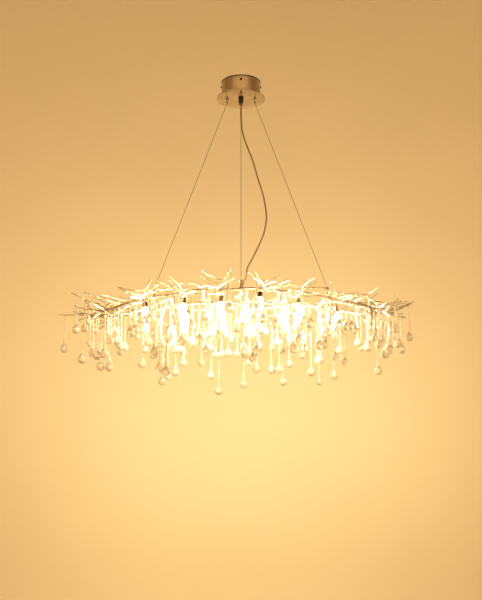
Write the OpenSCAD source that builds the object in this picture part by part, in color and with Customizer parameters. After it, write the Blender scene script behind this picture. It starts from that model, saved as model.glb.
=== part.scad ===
// Branch pendant light with clear glass drops, hung from a round ceiling canopy.
// Millimetres, +Z up. The origin is the centre of the ceiling face, so everything hangs below z = 0.
// +X runs along the long side of the branches, and the front of the light faces -Y.

/* [Canopy] */
// Outer diameter of the canopy drum
drum_d = 121; // [112:1:135]
// Height of the canopy drum
drum_h = 50; // [44:1:70]
// Sheet thickness of the drum and of the ceiling bracket
sheet_t = 1.5; // [1:0.1:2]
// Shadow gap between the ceiling and the drum
ceiling_gap = 3; // [1:0.5:6]
// Diameter of the bottom plate
plate_d = 150; // [138:1:170]
// Thickness of the bottom plate
plate_t = 3; // [2.5:0.1:5]
// Depth of the bracket's turned-down rim
rim_h = 20; // [17:1:26]
// Distance of the side screws below the ceiling
side_screw_drop = 15; // [12:0.5:16]
// Diameter of the side screws
side_screw_d = 4; // [3:0.5:5]
// Diameter of the supply cable hole in the bracket
supply_hole_d = 20; // [14:1:24]

/* [Ceiling fixing] */
// Pitch circle of the ceiling screw holes
fixing_pcd = 80; // [70:1:88]
// Diameter of the ceiling screw holes
fixing_hole_d = 5.5; // [4:0.5:6.5]
// Number of ceiling screw holes
fixing_count = 4; // [2:1:4]

/* [Suspension] */
// Distance of the four cable grips from the outside of the drum
grip_inset = 17.5; // [15:0.5:22]
// Height from the plate down to the sockets that hold the cables
hang_drop = 598; // [500:1:900]
// Distance of the left and right sockets from the centre
side_reach = 256; // [246:1:262]
// Diameter of a steel suspension cable
cable_d = 1.5; // [1:0.1:1.6]
// Diameter of the ball on the end of a cable
cable_ball_d = 6; // [5:0.5:7]
// Diameter of a hanger post
post_d = 6; // [5:0.5:8]
// Diameter of the socket head on a hanger post
socket_d = 12; // [10:0.5:14]

/* [Cable grips] */
// Diameter of the grip's flange under the plate
grip_flange_d = 11; // [10:0.5:14]
// Height of the grip's flange
grip_flange_h = 5; // [4:0.5:7]
// Diameter of the grip's threaded shank
grip_shank_d = 8; // [7.6:0.2:9]
// Height of the shank above the plate's underside
grip_shank_h = 16; // [15:1:20]
// Diameter of the release nozzle
nozzle_d = 4.6; // [4:0.2:6]
// Height of the release nozzle
nozzle_h = 4; // [3:0.5:6]
// Travel of the release nozzle
release_travel = 1.5; // [1:0.1:1.6]

/* [Power cord] */
// Diameter of the power cord
cord_d = 5; // [4:0.5:6]
// Diameter of the cord gland
gland_d = 15; // [13:0.5:18]
// Height of the cord gland
gland_h = 14; // [12:1:18]
// Diameter of an insulated wire
wire_d = 1.6; // [1.2:0.1:1.7]

/* [Frame] */
// Half length of the two long stems
stem_half = 400; // [390:1:430]
// Half distance between the stems at the middle
stem_mid_y = 92; // [84:1:100]
// Half distance between the stems at their ends
stem_end_y = 50; // [44:1:60]
// How far the stems droop at their ends
stem_droop = 55; // [20:1:80]
// Depth of the small waves in the stems
stem_wave = 2.5; // [0:0.5:4]
// Outer diameter of the stems
stem_d = 8; // [7:0.5:10]
// Wall of the stems
stem_wall = 1; // [0.8:0.1:1.4]
// Diameter of the cross tubes
cross_d = 7; // [6:0.5:8]
// Height of the sockets above the stems at the middle
socket_rise = 24; // [20:1:34]

/* [Branches] */
// Spacing of the branches along the light
pitch = 110; // [104:1:116]
// Half depth of the light, to the tips of the middle branches
spread_y = 245; // [230:1:260]
// Half length of the oval that the branch tips keep to
oval_half = 540; // [520:1:580]
// Diameter of a branch where it crosses the stems
branch_d = 4.8; // [4.4:0.1:5.4]
// Diameter of a branch at its end
branch_end_d = 3.6; // [3.2:0.1:4.2]
// Diameter of a twig where it leaves its branch
twig_d = 3.4; // [3:0.1:4]
// Diameter of a twig at its tip
twig_end_d = 2.6; // [2.2:0.1:3]
// Diameter of the bud on each tip
bud_d = 5; // [4:0.1:5.6]
// Droop of the upper branches at their ends
upper_droop = 38; // [30:1:46]
// Droop of the lower branches at their ends
lower_droop = 98; // [92:1:110]
// Shift of the lower branches along the light, which keeps them off the cross tubes
lower_shift = 18; // [15:1:22]

/* [Lamps] */
// Diameter of a lamp arm
arm_d = 6; // [5:0.5:7]
// Length of a lamp arm
arm_l = 12; // [10:1:20]
// Outer diameter of the metal cup round a lamp holder
cup_d = 17; // [16:0.5:20]
// Length of the cup
cup_h = 20; // [18:1:26]
// Diameter of the porcelain holder
holder_d = 13.4; // [12.6:0.2:14]
// Diameter of a lamp's glass
lamp_d = 11; // [9:0.5:13]
// Length of a lamp's glass
lamp_l = 36; // [28:1:44]
// Tilt of the lamps away from straight down
lamp_tilt = 24; // [10:1:30]

/* [Glass drops] */
// Diameter of the smallest drop
drop_small_d = 21; // [18:0.5:24]
// Length of the smallest drop
drop_small_l = 84; // [74:1:96]
// Growth in diameter from one drop size to the next
drop_d_step = 2.5; // [1:0.5:3]
// Growth in length from one drop size to the next
drop_l_step = 22; // [14:1:26]
// Diameter of a drop's stem where it meets the ball
drop_stem_d = 4.6; // [4:0.1:5.4]
// Diameter of a drop's stem at its eye
drop_top_d = 3.2; // [2.8:0.1:3.6]
// Diameter of the glass round a drop's eye
eye_glass_d = 2; // [1.6:0.1:2.2]
// Inner diameter of a drop's eye
eye_d = 3.2; // [3:0.1:3.6]
// Wire of the rings that carry the drops
ring_wire_d = 1.2; // [1:0.1:1.3]
// Swing of a free drop to either side, in degrees
swing_deg = 12; // [6:1:14]
// Least free space between two drops or between a drop and a branch
drop_space = 2; // [1.5:0.5:5]
// Number of drops that the light carries at most
drop_limit = 172; // [120:1:172]

/* [Hidden] */
$fn = 48;

// Colours
chrome = [0.86, 0.82, 0.77];
steel = [0.66, 0.65, 0.63];
clear_glass = [0.93, 0.96, 0.95, 0.5];
porcelain = [0.93, 0.92, 0.88];
dark_nylon = [0.1, 0.09, 0.08];
brass = [0.8, 0.66, 0.35];
clear_cord = [0.83, 0.74, 0.58];

// Clearances: seats between rods, their allowance for slanted rods, running fits and screw threads
seat = 0.25;
slant = 1.03;
fit = 0.15;
thread_fit = 0.06;

// Canopy heights
drum_top = -ceiling_gap;
plate_top = drum_top - drum_h;
plate_z = plate_top - plate_t;
drum_flange = 9;
flange_screw_r = drum_d / 2 - sheet_t - drum_flange / 2;
bracket_d = drum_d - 2 * sheet_t - 1;
screw_turns = [45, 135, 225, 315];
flange_screw_d = 3;
flange_screw_depth = plate_t - 1;

// Suspension
hang_z = plate_z - hang_drop;
post_turns = [180, 0, 270, 90];
grip_reach = drum_d / 2 - grip_inset;
cable_r = cable_d / 2;
knee_z = plate_z - grip_flange_h - release_travel - 0.5 - nozzle_h - release_travel;
cable_tail = 30;
ball_r = cable_ball_d / 2;
socket_h = 5;

// Frame
stem_mid_z = hang_z - socket_rise;
stem_r = stem_d / 2;
stem_bore_r = stem_r - stem_wall;
stem_steps = 20;
stem_step = 2 * stem_half / stem_steps;
cross_xs = [-side_reach, -pitch, 0, pitch, side_reach];

// Branches: eight lie across the stems, five hang under them between the others
upper_xs = [for (i = [-3.5:1:3.5]) i * pitch];
lower_xs = [for (i = [-2:1:2]) i * pitch + lower_shift];
twig_steps = 3;
branch_sides = 6;
twig_sides = 5;
wave_step = 137.5;

// Lamps hang under the stems, in line with the upper branches
front_lamp_xs = [for (i = [-2.5:1:2.5]) i * pitch];
back_lamp_xs = [for (i = [-1.5:1:1.5]) i * pitch];

// Route of the power cord from the canopy's gland to the frame's inlet
cord_route = [[0, 0, -78], [0, -1, -90], [0, -4, -112], [1, -8, -140], [4, -11, -165], [13, -15, -200],
    [24, -19, -232], [37, -24, -270], [52, -31, -328], [64, -36, -370], [71, -40, -405], [75, -45, -441],
    [74, -49, -468], [69, -52, -495], [60, -56, -522], [46, -60, -554], [31, -64, -586], [18, -67, -612]];
cord_sides = 8;
cord_steps = 2;
inlet_tilt = 27;
inlet_d = 9;
inlet_h = 14;

function unit(v) = v / norm(v);
function flat(v) = [v[0], v[1], 0];
function blend(a, b, t) = a + (b - a) * t;
function sum(v, i = 0) = i < len(v) - 1 ? v[i] + sum(v, i + 1) : v[i];

// A number between -1 and 1 that differs for each pair of counts, to vary the branches
function vary(i, k) = sin(i * wave_step + k * 71.3 + 19);

// Centre line of the front stem (side -1) or the back stem (side 1) at the distance x, straight between its knots
function knot_y(i) = blend(stem_mid_y, stem_end_y, pow(2 * i / stem_steps, 2));
function knot_z(i) = stem_mid_z - stem_droop * pow(2 * i / stem_steps, 2) + stem_wave * sin(2.2 * i * stem_step);
function stem_y(x) = let (i = floor(x / stem_step)) blend(knot_y(i), knot_y(i + 1), x / stem_step - i);
function stem_z(x) = let (i = floor(x / stem_step)) blend(knot_z(i), knot_z(i + 1), x / stem_step - i);
function stem_point(x, side) = [x, side * stem_y(x), stem_z(x)];
function stem_points(side) = [for (i = [-stem_steps / 2:stem_steps / 2]) stem_point(i * stem_step, side)];

// How far the stem rises (dir 1) or dips (dir -1) within the distance r of x
function stem_swell(x, r, dir) = max([for (d = [-r, 0, r]) dir * (stem_z(x + d) - stem_z(x))]);

// Bezier curve through a root, pulled by a bend point, to a tip
function curve_point(c, t) = (1 - t) * (1 - t) * c[0] + 2 * t * (1 - t) * c[1] + t * t * c[2];
function curve_tangent(c, t) = unit(2 * (1 - t) * (c[1] - c[0]) + 2 * t * (c[2] - c[1]));
function curve_line(c, shares) = [for (t = shares) curve_point(c, t)];

// Half of a branch: it leaves the middle, rests on or under one stem, and droops to its end.
// level is 1 above the stems and -1 below them.
function oval(x) = sqrt(1 - pow(x / oval_half, 2));
function half_reach(x) = 0.7 * spread_y * oval(x);
function crossing_t(x, y) = let (e = half_reach(x), b = 0.6 * e, a = e - 2 * b)
    (-b + sqrt(b * b + a * y)) / a;
function mid_lift(x) = abs(x) > 3 * pitch ? 28 : abs(x) > 2 * pitch ? 18 : 4;
function trunk_half(i, x0, side, level, droop) =
    let (e = half_reach(x0),
        lean = 0.16 * pitch * vary(i, side * 2) + 0.05 * x0,
        t = crossing_t(x0, stem_y(x0 + lean / 4)),
        cross_x = x0 + t * t * lean,
        slope = (stem_z(cross_x + stem_r) - stem_z(cross_x - stem_r)) / stem_d,
        climb = mid_lift(x0) / stem_y(x0),
        rise = slant * sqrt(1 + slope * slope + climb * climb) * (stem_r + blend(branch_d, branch_end_d, t) / 2) + seat,
        cross_z = stem_z(cross_x) + level * rise,
        mid_z = cross_z + (level > 0 ? mid_lift(x0) : -3),
        end_z = cross_z - droop + 9 * vary(i, side + 5),
        bend = (cross_z - mid_z * (1 - t * t) - t * t * end_z) / (2 * t * (1 - t)))
    [[x0, 0, mid_z], [x0, side * 0.6 * e, mid_z + bend], [x0 + lean, side * e, end_z]];

// Shares of a half branch at its knots, one of them over the stem
function trunk_shares(x0) = let (t = crossing_t(x0, stem_y(x0)))
    [0, 0.5 * t, t, blend(t, 1, 1 / 3), blend(t, 1, 2 / 3), 1];

// The two halves share one middle height
function level_middle(a, b) = let (z = (a[0][2] + b[0][2]) / 2) [[a[0][0], 0, z], a[1], a[2]];

// Twigs of one half: where they leave the branch, how far they reach sideways and forwards, and how they rise
upper_twigs = [[0.56, 1, 0.38, 66, 20], [0.68, -1, 0.40, 70, -6], [0.80, 1, 0.34, 66, 34], [0.92, -1, 0.30, 60, 2]];
lower_twigs = [[0.56, -1, 0.38, 62, -22], [0.70, 1, 0.38, 62, -34], [0.82, -1, 0.32, 58, -8], [0.93, 1, 0.26, 52, -40]];
function twig_of(i, k, trunk, side, level, spec) =
    let (root = curve_point(trunk, spec[0]),
        turn = spec[1] * side * (i % 2 == 0 ? 1 : -1),
        reach = turn * spec[2] * pitch * (0.86 + 0.14 * vary(i, k + side)),
        ahead = side * spec[3] * (0.92 + 0.14 * vary(i, k + 3 * side)) * oval(trunk[0][0]),
        rise = spec[4] + 8 * vary(i, k + 7 * side))
    [root, root + [0.3 * reach, 0.52 * ahead, 0.1 * rise + 5 * level], root + [reach, ahead, rise]];
function branch_rods(i, x0, level, droop, specs) =
    let (front = trunk_half(i, x0, -1, level, droop), back = trunk_half(i, x0, 1, level, droop),
        f = level_middle(front, back), b = level_middle(back, front),
        rows = abs(x0) > 3 * pitch ? [0, 1, 2] : [0, 1, 2, 3])
    concat([f, b], [for (k = rows) twig_of(i, k, f, -1, level, specs[k])],
        [for (k = rows) twig_of(i, k, b, 1, level, specs[k])]);

// Twigs at the two ends, from a branch that lies on the end cross tube: [root share, tip x, tip y, tip rise]
end_root = [16, 130];
left_end = [0, 70, -16];
right_end = [4, 66, -14];
left_tips = [[0.46, 150, -66, 10], [0.50, 138, 64, -4], [0.62, 196, -62, 26], [0.68, 182, 62, -26],
    [0.80, 236, -40, 44], [0.86, 226, 44, -12], [0.94, 276, -4, 2]];
right_tips = [[0.44, 132, 62, 12], [0.50, 142, -58, 34], [0.62, 178, 68, -42], [0.68, 176, -62, -12],
    [0.78, 208, -42, 14], [0.86, 232, 42, -8], [0.94, 250, -6, 36]];
function end_trunk(dir, bend) =
    let (root_z = stem_z(dir * side_reach) + (cross_d + branch_d) / 2 + seat,
        tip_x = side_reach + end_root[1])
    [[dir * (side_reach - end_root[0]), end_root[0], root_z], [dir * (side_reach + bend[1]), bend[0] + 12, root_z + 12],
        [dir * tip_x, bend[0], stem_z(dir * tip_x) + bend[2]]];
function end_twig(dir, trunk, tip) =
    let (root = curve_point(trunk, tip[0]), end = [dir * (side_reach + tip[1]), tip[2], root[2] + tip[3]],
        mid = (root + end) / 2)
    [root, [mid[0], 0.35 * end[1] + 0.65 * root[1], root[2] + 0.2 * tip[3] + 4], end];
function end_rods(dir, bend, tips) = let (trunk = end_trunk(dir, bend))
    concat([trunk, trunk], [for (tip = tips) end_twig(dir, trunk, tip)]);

upper_rods = [for (i = [0:len(upper_xs) - 1]) branch_rods(i, upper_xs[i], 1, upper_droop, upper_twigs)];
lower_rods = [for (i = [0:len(lower_xs) - 1]) branch_rods(i + 11, lower_xs[i], -1, lower_droop, lower_twigs)];
left_rods = end_rods(-1, left_end, left_tips);
right_rods = end_rods(1, right_end, right_tips);

// A rod's radius at the share t of its length; rods 0 and 1 of a group are its branch, the others are twigs
function rod_r(k, t) = k < 2 ? blend(branch_d, branch_end_d, t) / 2 : blend(twig_d, twig_end_d, t) / 2;
function rod_shares(rods, k) = k > 1 ? [for (i = [0:twig_steps]) i / twig_steps]
    : rods[0] == rods[1] ? [for (t = [0:0.2:1]) t] : trunk_shares(rods[0][0][0]);

// Tube that follows a line of points, with one ring of corners at each
function ring_frame(points, i, up) =
    let (last = len(points) - 1, t = unit(points[min(i + 1, last)] - points[max(i - 1, 0)]), s = unit(cross(up, t)))
    [s, cross(t, s)];
function ring_points(points, i, r, sides, up) = let (f = ring_frame(points, i, up))
    [for (k = [0:sides - 1]) points[i] + r * (cos(360 * k / sides) * f[0] + sin(360 * k / sides) * f[1])];
function wall_faces(rings, sides, first = 0, outward = true) =
    [for (i = [0:rings - 2], k = [0:sides - 1])
        let (a = first + i * sides + k, b = first + i * sides + (k + 1) % sides, c = b + sides, d = a + sides)
        each (outward ? [[a, d, c], [a, c, b]] : [[a, c, d], [a, b, c]])];
function tube_rings(points, radii, sides, up = [0, 0, 1]) =
    [for (i = [0:len(points) - 1]) ring_points(points, i, radii[i], sides, up)];
module skin(rings) {
    n = len(rings);
    sides = len(rings[0]);
    first_cap = [[for (k = [0:sides - 1]) k]];
    last_cap = [[for (k = [sides - 1:-1:0]) (n - 1) * sides + k]];
    polyhedron([for (ring = rings) each ring], concat(first_cap, last_cap, wall_faces(n, sides)), convexity = 6);
}
module tube(points, radii, sides, up = [0, 0, 1]) {
    skin(tube_rings(points, radii, sides, up));
}

// Hollow tube with open ends
module pipe(points, outer_r, inner_r, sides) {
    n = len(points);
    m = n * sides;
    up = [0, 0, 1];
    corners = concat([for (i = [0:n - 1]) each ring_points(points, i, outer_r, sides, up)],
        [for (i = [0:n - 1]) each ring_points(points, i, inner_r, sides, up)]);
    ends = [for (k = [0:sides - 1]) let (j = (k + 1) % sides, z = (n - 1) * sides)
        each [[k, j, m + j], [k, m + j, m + k], [z + k, m + z + j, z + j], [z + k, m + z + k, m + z + j]]];
    polyhedron(corners, concat(wall_faces(n, sides), wall_faces(n, sides, m, false), ends), convexity = 6);
}

// A bud closes each tip: [distance from the tip, radius], as shares of its width
bud_outline = [[0.25, 0.5], [0.85, 0.21]];
function bud_points(rod) = [for (b = bud_outline) rod[2] + b[0] * bud_d * curve_tangent(rod, 1)];
bud_radii = [for (b = bud_outline) b[1] * bud_d];
function reversed(v) = [for (i = [len(v) - 1:-1:0]) v[i]];

// A straight stretch of a rod, which runs a little into the next stretch so that the two are one solid
function overlap_ring(ring, next) =
    let (c = sum(ring) / len(ring)) [for (p = ring) blend(c, sum(next) / len(next), 0.02) + 0.8 * (p - c)];
module stretch(first, ring, next) {
    hull() skin([first, ring, overlap_ring(ring, next)]);
}

// The straight stretch at a twig's root, and the rest of the twig up to its bud
module twig(rod, k, shares) {
    rings = tube_rings(concat(curve_line(rod, shares), bud_points(rod)),
        concat([for (t = shares) rod_r(k, t)], bud_radii), twig_sides);
    stretch(rings[0], rings[1], rings[2]);
    skin([for (i = [1:len(rings) - 1]) rings[i]]);
}
module branch(rods) {
    one_end = rods[0] == rods[1];
    shares = rod_shares(rods, 0);
    back_shares = one_end ? [] : [for (i = [len(shares) - 1:-1:1]) shares[i]];
    line = concat(one_end ? [] : reversed(bud_points(rods[1])), curve_line(rods[1], back_shares),
        curve_line(rods[0], shares), bud_points(rods[0]));
    radii = concat(one_end ? [] : reversed(bud_radii), [for (t = concat(back_shares, shares)) rod_r(0, t)], bud_radii);
    rings = tube_rings(line, radii, branch_sides);
    last = len(rings) - 1;
    // A rod with fewer than eight twigs has its two buds as solids of their own
    own_buds = len(rods) < 10 ? 1 : 0;
    color(chrome) union() {
        if (own_buds > 0) stretch(rings[0], rings[1], rings[2]);
        skin([for (i = [own_buds:last - own_buds]) rings[i]]);
        if (own_buds > 0) stretch(rings[last], rings[last - 1], rings[last - 2]);
        for (k = [2:len(rods) - 1]) twig(rods[k], k, rod_shares(rods, k));
    }
}

// Canopy
module ceiling_bracket() {
    color(steel) difference() {
        union() {
            translate([0, 0, -sheet_t]) cylinder(d = bracket_d, h = sheet_t);
            difference() {
                translate([0, 0, -rim_h]) cylinder(d = bracket_d, h = rim_h);
                translate([0, 0, -rim_h - 1]) cylinder(d = bracket_d - 2 * sheet_t, h = rim_h + 2);
            }
        }
        translate([0, 0, -2 * sheet_t]) cylinder(d = supply_hole_d, h = 3 * sheet_t);
        for (i = [0:fixing_count - 1]) rotate(45 + 360 * i / fixing_count)
            translate([fixing_pcd / 2, 0, -2 * sheet_t]) cylinder(d = fixing_hole_d, h = 3 * sheet_t);
        for (a = post_turns) rotate(a) translate([bracket_d / 2 - 2 * sheet_t, 0, -side_screw_drop])
            rotate([0, 90, 0]) cylinder(d = side_screw_d, h = 3 * sheet_t);
        translate([earth_at[0], earth_at[1], -2 * sheet_t]) cylinder(d = earth_stud_d, h = 3 * sheet_t);
    }
}
module canopy_drum() {
    color(chrome) difference() {
        translate([0, 0, plate_top]) cylinder(d = drum_d, h = drum_h, $fn = 96);
        translate([0, 0, plate_top + sheet_t]) cylinder(d = drum_d - 2 * sheet_t, h = drum_h, $fn = 96);
        translate([0, 0, plate_top - 1]) cylinder(r = drum_d / 2 - sheet_t - drum_flange, h = 2 * sheet_t);
        for (a = post_turns) rotate(a) translate([drum_d / 2 - 2 * sheet_t, 0, -side_screw_drop])
            rotate([0, 90, 0]) cylinder(d = side_screw_d + 0.5, h = 3 * sheet_t);
        for (a = screw_turns) rotate(a) translate([flange_screw_r, 0, plate_top - 1])
            cylinder(d = flange_screw_d + 0.4, h = 2 * sheet_t + 1);
    }
}
module canopy_plate() {
    edge = 0.6;
    color(chrome) difference() {
        rotate_extrude($fn = 96) polygon([[0, plate_z], [plate_d / 2 - edge, plate_z], [plate_d / 2, plate_z + edge],
            [plate_d / 2, plate_top - edge], [plate_d / 2 - edge, plate_top], [0, plate_top]]);
        translate([0, 0, plate_z - 1]) cylinder(d = gland_shank_d + 2 * fit, h = plate_t + 2);
        for (a = post_turns) rotate(a) translate([grip_reach, 0, plate_z - 1])
            cylinder(d = grip_shank_d + 2 * fit, h = plate_t + 2);
        for (a = screw_turns) rotate(a) translate([flange_screw_r, 0, plate_top - flange_screw_depth])
            cylinder(d = flange_screw_d, h = plate_t);
    }
}
module plate_screws() {
    head_h = 1.8;
    color(steel) for (a = screw_turns) rotate(a) translate([flange_screw_r, 0, plate_top]) {
        translate([0, 0, fit - flange_screw_depth])
            cylinder(d = flange_screw_d - 2 * thread_fit, h = flange_screw_depth + sheet_t);
        difference() {
            translate([0, 0, sheet_t]) cylinder(d = flange_screw_d + 2.5, h = head_h);
            translate([0, 0, sheet_t + head_h - 1]) cylinder(d = 2, h = 2, $fn = 6);
        }
    }
}
module side_screws() {
    head_h = 2.4;
    shank = 2 * sheet_t + 2;
    color(chrome) for (a = post_turns) rotate(a) translate([drum_d / 2, 0, -side_screw_drop]) rotate([0, 90, 0]) {
        translate([0, 0, -shank]) cylinder(d = side_screw_d - 2 * thread_fit, h = shank);
        difference() {
            union() {
                cylinder(d = side_screw_d + 3, h = head_h - 0.8);
                translate([0, 0, head_h - 0.8]) cylinder(d1 = side_screw_d + 3, d2 = side_screw_d + 1.4, h = 0.8);
            }
            translate([0, 0, head_h - 1]) cylinder(d = 2.5, h = 2, $fn = 6);
        }
    }
}

// Wiring inside the canopy
block_at = [0, 26];
block_size = [32, 18, 14];
pole_pitch = 10;
pole_d = 3.4;
block_screw_d = 3.2;
earth_at = [-24, -24];
earth_stud_d = 4;
earth_stud_h = 12;
gland_shank_d = 10;
gland_shank_h = plate_t + 9;
gland_bore_d = 4.4;
lead_r = wire_d / 2;
lead_offset = gland_bore_d / 2 - lead_r - 0.15;
module terminal_block() {
    color([0.9, 0.89, 0.86]) translate([block_at[0], block_at[1], -sheet_t]) difference() {
        translate([-block_size[0] / 2, -block_size[1] / 2, -block_size[2]]) cube(block_size);
        for (k = [-1:1]) translate([k * pole_pitch, 0, -0.45 * block_size[2]]) {
            rotate([90, 0, 0]) cylinder(d = pole_d, h = block_size[1] + 2, center = true);
            for (s = [-1, 1]) translate([0, s * 0.28 * block_size[1], -block_size[2]])
                cylinder(d = block_screw_d, h = block_size[2] - pole_d / 2);
        }
    }
}
module terminal_screws() {
    color(brass) for (k = [-1:1], s = [-1, 1])
        translate([block_at[0] + k * pole_pitch, block_at[1] + s * 0.28 * block_size[1],
            -sheet_t - block_size[2] + 0.5]) difference() {
            cylinder(d = block_screw_d - 2 * thread_fit, h = 0.55 * block_size[2] - pole_d / 2 - 1);
            translate([-2, -0.3, -1]) cube([4, 0.6, 1.8]);
        }
}
module earth_terminal() {
    washer_z = -sheet_t - 5;
    translate([earth_at[0], earth_at[1], 0]) {
        color(brass) translate([0, 0, -sheet_t - earth_stud_h])
            cylinder(d = earth_stud_d - 2 * thread_fit, h = earth_stud_h + sheet_t - 0.2);
        color(steel) translate([0, 0, washer_z]) difference() {
            cylinder(d = 9, h = 1);
            translate([0, 0, -1]) cylinder(d = earth_stud_d + 0.4, h = 3);
        }
        color(brass) for (z = [washer_z - 3.2, -sheet_t - 3.4]) translate([0, 0, z]) difference() {
            cylinder(d = 8, h = 3.1, $fn = 6);
            translate([0, 0, -1]) cylinder(d = earth_stud_d, h = 6);
        }
    }
}
module canopy_leads() {
    start_z = plate_z - gland_h + seat;
    top_z = plate_top + 12;
    pole_z = -sheet_t - 0.45 * block_size[2];
    near_y = block_at[1] - block_size[1] / 2;
    rise = [0, 0, 14];
    for (k = [0:2]) {
        a = 90 + 120 * k;
        start = [lead_offset * cos(a), lead_offset * sin(a), start_z];
        top = [start[0], start[1], top_z];
        pole = [block_at[0] + [0, -1, 1][k] * pole_pitch, near_y, pole_z];
        line = k == 1 ? [top, top + [-12, -12, 6], [earth_at[0] + 7, earth_at[1] + 3, -24]]
            : [top, top + [0, 4, 18], pole + [0, -10, 0]];
        lug = [earth_at[0] + 2.9, earth_at[1], -sheet_t - 10.5];
        end = k == 1 ? [lug] : [pole, pole + [0, 2, 0]];
        color([[0.3, 0.42, 0.75], [0.45, 0.65, 0.25], [0.45, 0.3, 0.2]][k])
            tube(concat([start, blend(start, top, 0.5)], curve_line(line, [0:1 / 8:1]), end),
                [for (i = [1:11 + len(end)]) lead_r], 8, [1, 0.3, 0]);
    }
}

// Cable grips: a body through the plate, a nut on it, and a sprung release nozzle round the cable
chamber_r = grip_shank_d / 2 - 1.4;
guide_r = chamber_r - 0.9;
grip_bore_r = cable_r + 0.3;
cone_top = 2;
cone_foot = -1;
chamber_top = grip_shank_h - 3;
head_top = cone_top + 1;
module grip_body() {
    rotate_extrude() polygon([[guide_r, -grip_flange_h], [grip_flange_d / 2 - 0.8, -grip_flange_h],
        [grip_flange_d / 2, 0.8 - grip_flange_h], [grip_flange_d / 2, 0], [grip_shank_d / 2, 0],
        [grip_shank_d / 2, grip_shank_h], [grip_bore_r, grip_shank_h], [grip_bore_r, chamber_top],
        [chamber_r, chamber_top], [chamber_r, cone_top], [guide_r, cone_foot]]);
}
module at_grips() {
    for (a = post_turns) rotate(a) translate([grip_reach, 0, plate_z]) children();
}
module grip_bodies() {
    color(chrome) at_grips() grip_body();
}
module grip_nuts() {
    color(steel) at_grips() difference() {
        translate([0, 0, plate_t]) cylinder(d = grip_shank_d + 6, h = 4, $fn = 6);
        translate([0, 0, plate_t - 1]) cylinder(d = grip_shank_d + 2 * thread_fit, h = 6);
    }
}
module grip_springs() {
    spring_foot = head_top + release_travel + 0.2;
    color(steel) at_grips() rotate_extrude() polygon([[grip_bore_r + 0.2, spring_foot],
        [chamber_r - fit, spring_foot], [chamber_r - fit, chamber_top - fit], [grip_bore_r + 0.2, chamber_top - fit]]);
}
module release(k) {
    nozzle_top = -grip_flange_h - release_travel - 0.5;
    shaft_r = guide_r - fit;
    head_r = chamber_r - 1.3 * fit;
    color(dark_nylon) rotate(post_turns[k]) translate([grip_reach, 0, plate_z]) rotate_extrude() polygon([
        [grip_bore_r, nozzle_top - nozzle_h], [nozzle_d / 2 - 0.5, nozzle_top - nozzle_h],
        [nozzle_d / 2, nozzle_top - nozzle_h + 0.8], [nozzle_d / 2, nozzle_top], [shaft_r, nozzle_top],
        [shaft_r, cone_foot], [head_r, cone_top], [head_r, head_top], [grip_bore_r, head_top]]);
}

// Cord gland in the plate
module cord_gland() {
    color(dark_nylon) translate([0, 0, plate_z]) rotate_extrude() polygon([[gland_bore_d / 2, -gland_h],
        [cord_d / 2 + 1.6, -gland_h], [gland_d / 2 - 1.4, 2 - gland_h], [gland_d / 2, 5 - gland_h], [gland_d / 2, 0],
        [gland_shank_d / 2, 0], [gland_shank_d / 2, gland_shank_h], [gland_bore_d / 2, gland_shank_h]]);
}
module gland_nut() {
    color(dark_nylon) translate([0, 0, plate_top]) difference() {
        cylinder(d = gland_shank_d + 7, h = 5, $fn = 6);
        translate([0, 0, -1]) cylinder(d = gland_shank_d + 2 * thread_fit, h = 7);
    }
}

// The frame's inlet leans towards the cord, which ends square on it
inlet_foot = [0, 0.72 * stem_mid_y * -1, stem_z(0) + cross_d / 2 + seat];
inlet_lean = [sin(inlet_tilt), 0, cos(inlet_tilt)];
inlet_neck = inlet_foot + [0, 0, 7];
inlet_face = inlet_neck + inlet_h * inlet_lean;
module frame_inlet() {
    color(chrome) difference() {
        union() {
            translate(inlet_foot) cylinder(d = inlet_d - 2, h = 7);
            translate(inlet_neck) sphere(d = inlet_d + 0.6);
            translate(inlet_neck) rotate([0, inlet_tilt, 0]) cylinder(d = inlet_d, h = inlet_h);
        }
        translate(inlet_neck) rotate([0, inlet_tilt, 0]) translate([0, 0, 2]) cylinder(d = 3, h = inlet_h);
    }
}

// Smooth line through the route's points
function route_at(p, i, t) =
    let (n = len(p) - 1, a = p[max(i - 1, 0)], b = p[i], c = p[min(i + 1, n)], d = p[min(i + 2, n)])
    0.5 * (2 * b + (c - a) * t + (2 * a - 5 * b + 4 * c - d) * t * t + (3 * b - a - 3 * c + d) * t * t * t);
cord_ends = concat([[0, 0, plate_z - gland_h]], cord_route,
    [for (d = [18, 7, 0]) inlet_face + d * inlet_lean]);
cord_line = concat([for (i = [0:len(cord_ends) - 2], s = [0:cord_steps - 1]) if (i > 0 || s == 0)
    route_at(cord_ends, i, s / cord_steps)], [inlet_face]);
module power_cord() {
    color(clear_cord) tube(cord_line, [for (p = cord_line) cord_d / 2], cord_sides, [0, 1, 0]);
}

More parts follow.
